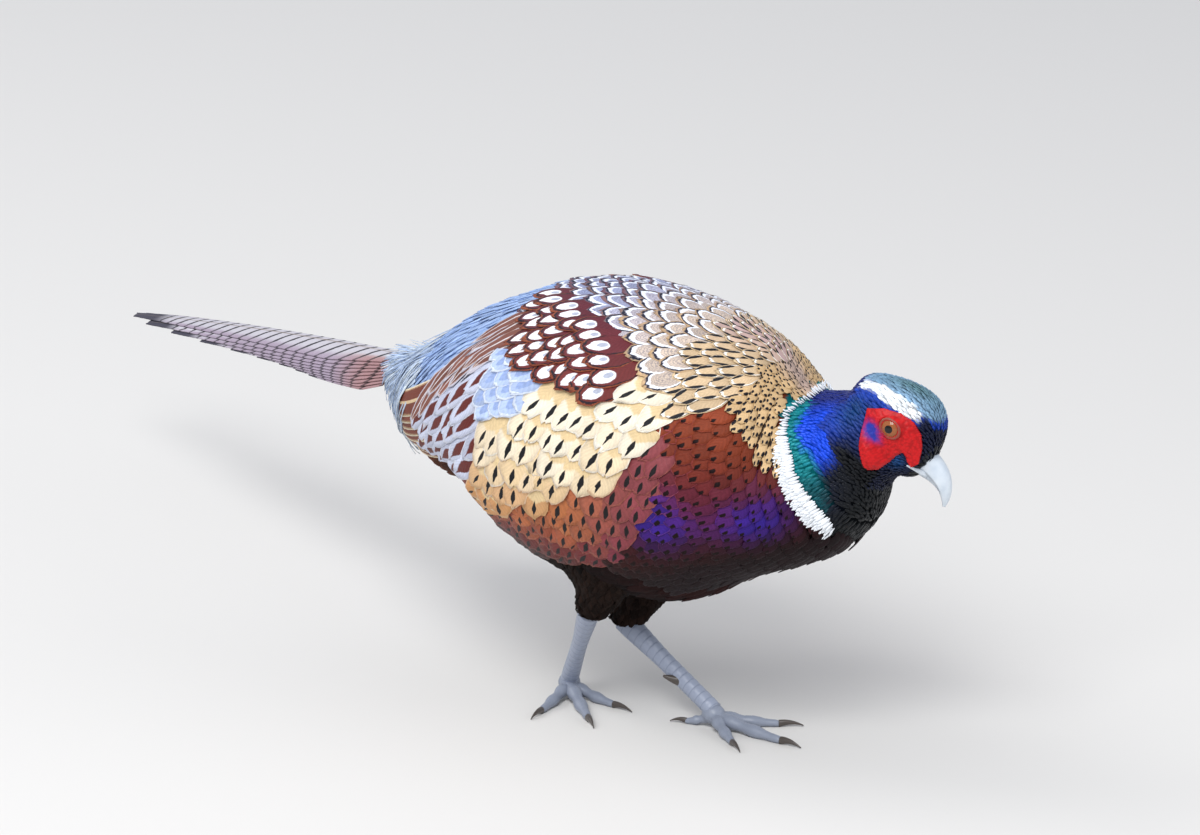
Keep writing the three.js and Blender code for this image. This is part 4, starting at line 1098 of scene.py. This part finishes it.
# Moist skin in small round warts: a broad red sheen, and a little light goes through it
wattle, tree, shader = material("Red wattled skin", 0.5, subsurface_weight=0.03, specular_ior_level=0.3)
surface(tree, shader, painted(tree))
for side, way in (("left", 1), ("right", -1)):
    n = FACE_GRID
    gx, gz = np.meshgrid(*np.linspace(FACE_LOW, FACE_HIGH, n).T, indexing="ij")
    x, z = gx.ravel(), gz.ravel()
    reach = np.zeros(n * n)
    for grow in np.linspace(-2.4, 0.6, 11):
        reach += in_face(x, z, grow) / 11
    ring_distance = np.hypot((x - EYE_AT[0]) / 1.1, z - EYE_AT[2])
    around = np.clip((ring_distance - 4.4) / 1.6, 0, 1)
    dots = chance.uniform(FACE_LOW, FACE_HIGH, (WATTLES, 2))
    near = np.full(n * n, 9.0)
    for px, pz in dots:
        near = np.minimum(near, np.hypot(x - px, z - pz))
    grain = np.clip(1 - near / 1.0, 0, 1) ** 0.7
    y = skin_at(x, z, way) + FACE_LIFT + FACE_SWELL * reach * around
    y = y + WATTLE_HEIGHT * grain * reach * around
    y -= 1.1 * (reach < 0.05)  # the sheet's edge dips under the feathers
    ball = SOCKET_RADIUS**2 - (x - EYE_AT[0]) ** 2 - (z - EYE_AT[2]) ** 2
    y = np.maximum(y, EYE_AT[1] + np.sqrt(np.maximum(0, ball)) * (ball > 0))
    local = np.stack([x, way * y, z], 1)
    inside = (reach > 0.02) & (ring_distance > EYE_GAP)
    cells = np.arange(n * n).reshape(n, n)
    quad = np.stack([cells[:-1, :-1], cells[1:, :-1], cells[1:, 1:], cells[:-1, 1:]], -1).reshape(-1, 4)
    quad = quad[inside[quad].all(axis=1)]
    if way > 0:
        quad = quad[:, ::-1]
    used, quad = np.unique(quad, return_inverse=True)
    face = add_mesh("face_skin_" + side, from_head(local)[used], quad.reshape(-1, 4))
    red = blend(all_of("a80006", len(used)), linear("cc0c12"), grain[used])
    spot = blob(x[used], z[used], (-7.6, -5.4), (4.2, 3.2)) * 1.8
    spot += blob(x[used], z[used], (-3.4, -7.6), (3, 1.5))
    paint(face, blend(red, linear("24309a"), spot * (1 - 0.4 * grain[used])))
    shell = face.modifiers.new("thickness", "SOLIDIFY")
    shell.thickness = 0.0012
    shell.offset = -1.0
    dress(face, wattle, "wattle", "face_" + side)

# Eyes
# A dark pupil in an orange-brown iris under a wet clear surface, held by thin bare lids.

# A clear wet cornea, which gives one small sharp highlight over the iris
iris, tree, shader = material("Orange-brown eye under a wet surface", 0.08, coat_weight=0.4,
                              coat_roughness=0.03, specular_ior_level=0.2)
_, ramp, mix = shader_tools(tree)
where = node(tree, "ShaderNodeUVMap", uv_map="Eye")
off = node(tree, "ShaderNodeVectorMath", {0: where, 1: (0.5, 0.5, 0)}, operation="SUBTRACT")
away = node(tree, "ShaderNodeVectorMath", {0: off}, out=1, operation="LENGTH")
threads = node(tree, "ShaderNodeTexNoise", {"Vector": where, "Scale": 60.0, "Detail": 3.0})
amber = mix(threads, (*linear("6a3014"), 1), "b87040")
amber = mix(ramp(away, 0.32, 0.38), amber, "2a120a")
surface(tree, shader, mix(ramp(away, 0.175, 0.155), amber, "0d0a0a"))
# Thin dry skin with a dull sheen
lid_skin = material("Bare lid", 0.45, base_color=(*linear("8a4030"), 1))[0]
EYE_RADIUS = 6.2
LID_RADIUS = 4.7
LID_OUT = 4.1  # how far out from the eye's middle the lids lie
for side, way in (("left", 1), ("right", -1)):
    def ball(t, angle, lift):
        polar = t * math.pi
        r = (EYE_RADIUS - 0.03) * np.sin(polar)
        local = np.stack([r * np.cos(angle), way * EYE_RADIUS * np.cos(polar), r * np.sin(angle) * -way], 1)
        return from_head(local + EYE_AT * (1, way, 1))

    points, faces = tube(ball, 40, 48)
    eye = add_mesh("eyeball_" + side, points, faces)
    layer = eye.data.uv_layers.new(name="Eye")
    local = to_head(points) - EYE_AT * (1, way, 1)
    flat = local[:, (0, 2)] / (2 * EYE_RADIUS) + 0.5
    layer.data.foreach_set("uv", flat[np.asarray(faces).ravel()].astype(np.float32).ravel())
    dress(eye, iris, "eye", "eye_" + side)

    def lid(t, angle, lift):
        turn = t * 2 * math.pi
        ring = np.stack([LID_RADIUS * 1.12 * np.cos(turn), 0 * turn, LID_RADIUS * 0.92 * np.sin(turn)], 1)
        out = np.stack([np.cos(turn), 0 * turn, np.sin(turn)], 1)
        thick = 0.75 + 0.05 * np.sin(turn * 9)
        local = ring + out * (np.cos(angle) * thick)[:, None]
        local[:, 1] += way * np.sin(angle) * thick * 1.1
        return from_head(local + EYE_AT * (1, way, 1) + (0, way * LID_OUT, 0))

    turns, sides = 64, 12
    t = np.repeat(np.arange(turns) / turns, sides)
    angle = np.tile(np.arange(sides) * 2 * math.pi / sides, turns)
    i, j = np.meshgrid(np.arange(turns), np.arange(sides), indexing="ij")
    i2, j2 = (i + 1) % turns, (j + 1) % sides
    quad = np.stack([i * sides + j, i2 * sides + j, i2 * sides + j2, i * sides + j2], -1).reshape(-1, 4)
    if way < 0:
        quad = quad[:, ::-1]
    lids = add_mesh("eyelids_" + side, lid(t, angle, 0), quad)
    dress(lids, lid_skin, "wattle")

# Bill
# Two horny halves, pale bluish horn, the upper one arched and hooked over the lower.

BILL_ROOT = 13.0
BILL_LENGTH = 29.4
BILL_TIP = BILL_ROOT + BILL_LENGTH
bill_line = np.array(((BILL_ROOT - 1, 0, -7), (BILL_ROOT + 21, 0, -1.5), (BILL_TIP, 0, -18)))


def bill_half(part, reach):
    """One half of the bill as a tube's points: part is 1 for the upper half and -1 for the lower."""
    def place(t, angle, lift):
        at, along = bow(bill_line, t * reach)
        up = np.stack([-along[:, 2], 0 * t, along[:, 0]], 1)
        thin = np.maximum(0.08, (1 - (t * reach) ** 1.5) ** 0.7)
        c = np.cos(angle)
        tall = 8.0 * thin if part > 0 else 8.4 * thin * (1 - 0.2 * t)
        rise = part * np.maximum(0, part * c) ** 0.9 * tall
        wide = np.sin(angle) * 8.2 * thin * (1 if part > 0 else 0.86)
        rise = rise - 0.9 * np.abs(np.sin(angle)) ** 6 * (part > 0)  # laps over the lower half
        mouth = -3.0 * (1 - 0.7 * t) + (0 if part > 0 else 0.35)
        nostril = blob(t, np.abs(np.abs(angle) - 1.0), (0.36, 0), (0.06, 0.16)) * (part > 0)
        local = at + up * (mouth + rise - 0.8 * nostril)[:, None]
        local[:, 1] += wide * (1 - 0.22 * nostril)
        return from_head(local)
    return place


def gape(way):
    """The horny corner of the mouth, from the lower half back along the cheek."""
    def place(t, angle, lift):
        root, corner_at = np.array((BILL_ROOT + 13, 4.4, -9.8)), np.array((BILL_ROOT + 3, 12.6, -9.8))
        thick = 2.2 + (0.5 - 2.2) * t
        local = root + (corner_at - root) * t[:, None]
        local[:, 1] = way * (local[:, 1] + np.sin(angle) * thick)
        local[:, 2] += np.cos(angle) * thick * 0.8
        return from_head(local)
    return place


# Dense smooth horn under a thin polish: a soft highlight, and cloudy spots about 6 mm across
horn, tree, shader = material("Pale bluish horn", 0.35, coat_weight=0.15)
_, _, mix = shader_tools(tree)
grain = node(tree, "ShaderNodeTexNoise", {"Vector": object_place(tree), "Scale": 160.0, "Detail": 4.0})
surface(tree, shader, mix(grain, (*linear("aebccb"), 1), "e6ecf0"), grain, 0.15, 0.0003)
for name, part, reach in (("upper", 1, 1.0), ("lower", -1, 0.84)):
    parts = [tube(bill_half(part, reach), 60, 40)]
    if part < 0:
        parts += [tube(gape(way), 16, 16) for way in (1, -1)]
    piece = add_mesh("bill_" + name + "_horn", *join(*parts))
    dress(piece, horn, "bill", "bill_" + name)

# Legs and feet
# Bare blue-grey legs with overlapping plates down the front, scaled toes and blunt dark claws.

# Where each foot stands and its heading, and each toe's turn, length and half thickness
FEET = {"left": ((72, 1, 8.5), 6, 1), "right": ((-14, -15, 8.5), -32, -1)}
TOES = {"middle": (0, 44, 3.9), "inner": (-34, 32, 3.5), "outer": (38, 34, 3.5), "back": (-158, 15, 2.9)}
SHANK = np.array(((5.6, 6.4), (4.1, 4.9), (4.8, 4.6)))  # half width and depth at heel, middle and foot
FRONT_PLATES = 15
BACK_PLATES = 22
ANKLE_HEIGHT = 6.5
PLATE_STEP = 0.3
SHANK_RINGS, SHANK_SIDES = 150, 32
CLAW_LENGTH = 11
SPUR_LENGTH = 10
SPUR_AT = 0.68  # as a share of the way down the shank
# Hard dry scales: a low sheen, broken up by pores about 1.4 mm across
scale_skin, tree, shader = material("Blue-grey scaled leg skin", 0.42)
pores = node(tree, "ShaderNodeTexVoronoi", {"Vector": object_place(tree), "Scale": 700.0})
surface(tree, shader, painted(tree), pores, 0.35, 0.0003)
# Worn dark horn, a little shinier than the scales
claw_horn = material("Dark horn of the claws", 0.35, base_color=(*linear("4b443f"), 1))[0]


def plates(t, count, facing):
    """The step from each overlapping plate to the next, on the side that faces front."""
    saw = (t * count) % 1
    return PLATE_STEP * (1 - saw) ** 0.5 * facing


for side, (at, heading, way) in FEET.items():
    heel, joint = np.array(HEELS[side], float), np.array(at, float)
    turn = math.radians(heading)
    down = (joint - heel) / np.linalg.norm(joint - heel)
    front = np.array((math.cos(turn), math.sin(turn), 0))
    across = np.cross(down, front)
    across /= np.linalg.norm(across)
    front = np.cross(across, down)

    def shank_place(t, angle, lift):
        upper, lower = swell(t, 0, 0.5)[:, None], swell(t, 0.5, 1)[:, None]
        size = 0.93 * (SHANK[0] + (SHANK[1] - SHANK[0]) * upper + (SHANK[2] - SHANK[1]) * lower)
        facing = np.clip(np.cos(angle) * 1.6, 0, 1)
        grow = plates(t, FRONT_PLATES, facing) + plates(t, BACK_PLATES, np.clip(-np.cos(angle), 0, 1)) * 0.5
        middle = heel + (joint - heel) * t[:, None]
        return (middle + across * (np.sin(angle) * (size[:, 0] + grow))[:, None]
                + front * (np.cos(angle) * (size[:, 1] + grow))[:, None])

    points, faces = tube(shank_place, SHANK_RINGS, SHANK_SIDES)
    shank = add_mesh("shank_skin_" + side, points, faces)
    t = np.repeat(np.linspace(0, 1, SHANK_RINGS + 1), SHANK_SIDES)
    t = np.concatenate([t, np.zeros(SHANK_SIDES), np.ones(SHANK_SIDES)])
    seam = (t * FRONT_PLATES) % 1 > 0.86
    paint(shank, blend(all_of("929aac", len(points)), linear("646b7e"), seam * 0.45))
    dress(shank, scale_skin, "leg", "shank_" + side)

    def toe_line(turn_by, length, thick):
        """A toe's three points: at the ankle, over the knuckle and at its tip."""
        out = np.array((math.cos(turn_by), math.sin(turn_by), 0)) * length
        return np.array((0, 0, ANKLE_HEIGHT)), out * 0.35 + (0, 0, thick * 0.78), out + (0, 0, thick * 0.45)

    spin = np.array(Matrix.Rotation(turn, 3, "Z"))
    foot_parts = []
    for toe, (turn_by, length, thick) in TOES.items():
        line = toe_line(math.radians(turn_by * way), length, thick)

        def toe_place(t, angle, lift, line=line, length=length, thick=thick):
            middle, along = bow(line, t)
            flat = np.stack([-along[:, 1], along[:, 0], 0 * t], 1)
            flat /= np.linalg.norm(flat, axis=1)[:, None]
            up = np.cross(along, flat)
            pads = 1 + 0.13 * np.cos(t * 3 * 2 * math.pi)
            size = thick * (1 - 0.34 * t) * pads * np.sqrt(np.maximum(0.05, 1 - t**12))
            grow = plates(t, round(length / 3), np.clip(np.cos(angle) * 1.5, 0, 1)) * 0.6
            p = (middle + flat * (np.sin(angle) * size)[:, None]
                 + up * (np.cos(angle) * (size * 0.92 + grow))[:, None])
            p[:, 2] = np.maximum(p[:, 2], 0.05)
            return p @ spin.T + (at[0], at[1], 0)

        foot_parts.append(tube(toe_place, 66, 24))
        last = line[2] - line[1]
        along = last / np.linalg.norm(last)
        root = line[2] - along * 1.5
        tip = line[2] + along * CLAW_LENGTH * (1 if length > 20 else 0.7)
        tip[2] = 0.7
        over = (root + tip) / 2
        over[2] = root[2] + 1.7

        def claw_place(t, angle, lift, root=root, tip=tip, over=over, along=along, thick=thick):
            middle, _ = bow((root, over, tip), t)
            flat = np.array((-along[1], along[0], 0)) / math.hypot(along[0], along[1])
            size = thick * 0.55 * (1 - t * 0.84)
            p = middle + flat * (np.sin(angle) * size * 0.8)[:, None]
            p[:, 2] = np.maximum(0.05, p[:, 2] + np.cos(angle) * size)
            return p @ spin.T + (at[0], at[1], 0)

        claw = add_mesh("claw_horn_" + side + "_" + toe, *tube(claw_place, 24, 20))
        dress(claw, claw_horn, "claw", "claw_" + side + "_" + toe)

    def ankle(t, angle, lift):
        polar = t * math.pi
        r = 5.6 * np.sin(polar)
        p = np.stack([r * np.cos(angle) * 1.1, r * np.sin(angle), 5.2 * np.cos(polar) + ANKLE_HEIGHT], 1)
        return p @ spin.T + (at[0], at[1], 0)

    foot_parts.append(tube(ankle, 20, 24))
    points, faces = join(*foot_parts)
    foot = add_mesh("foot_skin_" + side, points, faces)
    paint(foot, all_of("868d9c", len(points)))
    dress(foot, scale_skin, "leg", "foot_" + side)

    out = np.array((-math.cos(turn), -math.sin(turn), 0.15))
    out += np.array((math.sin(turn), -math.cos(turn), 0)) * way * 0.7
    out /= np.linalg.norm(out)
    base = heel + (joint - heel) * SPUR_AT

    def spur_place(t, angle, lift):
        flat = np.cross(out, (0, 0, 1.0))
        flat /= np.linalg.norm(flat)
        up = np.cross(flat, out)
        size = 3.0 * (1 - t) ** 0.8 + 0.4
        middle = base + out * (1 + t[:, None] * SPUR_LENGTH) + np.array((0, 0, 1.2)) * (t[:, None] ** 2)
        return middle + flat * (np.cos(angle) * size)[:, None] + up * (np.sin(angle) * size)[:, None]

    spur = add_mesh("spur_horn_" + side, *tube(spur_place, 20, 20))
    dress(spur, claw_horn, "claw", "spur_" + side)

# Studio
# A pale floor, a soft key light from above and in front, a fill, and the photograph's long-lens view.

# The floor is matt, and gives no highlight
bpy.ops.mesh.primitive_plane_add(size=12, location=(0, 0, 0))
floor = bpy.context.object
floor.name = "floor"
floor.data.materials.append(material("Pale studio floor", 0.9, base_color=(*linear("dcdad6"), 1))[0])
world = bpy.data.worlds.new("studio")
bpy.context.scene.world = world
world.use_nodes = True
world.node_tree.nodes["Background"].inputs[0].default_value = (0.86, 0.9, 1.0, 1)
world.node_tree.nodes["Background"].inputs[1].default_value = 0.62
for name, spot, size, power in (
    ("key", (1.2, -1.9, 2.4), 1.6, 74),
    ("fill", (2.4, 1.2, 1.4), 2.0, 14),
    ("back", (-1.8, -0.6, 2.0), 1.5, 22),
):
    data = bpy.data.lights.new(name, "AREA")
    data.size = size
    data.energy = power
    lamp = bpy.data.objects.new(name, data)
    bpy.context.scene.collection.objects.link(lamp)
    lamp.location = spot
    lamp.rotation_euler = (Vector((0, 0, 0.12)) - Vector(spot)).to_track_quat("-Z", "Y").to_euler()

AZIMUTH = math.radians(45)
ELEVATION = math.radians(17)
DISTANCE = 4.0
back = Vector((math.sin(AZIMUTH), -math.cos(AZIMUTH), 0)) * math.cos(ELEVATION)
back.z = math.sin(ELEVATION)
aim = (Vector(to_model) + Vector((0, 0, BODY_MIDDLE))) / 1000
lens = bpy.data.cameras.new("camera")
lens.lens = 240
lens.sensor_width = 36
lens.shift_x = -10 / 1200
lens.shift_y = 22.5 / 1200
camera = bpy.data.objects.new("camera", lens)
bpy.context.scene.collection.objects.link(camera)
camera.location = aim + back * DISTANCE
camera.rotation_euler = (-back).to_track_quat("-Z", "Y").to_euler()
bpy.context.scene.camera = camera
bpy.context.scene.view_settings.view_transform = "Standard"
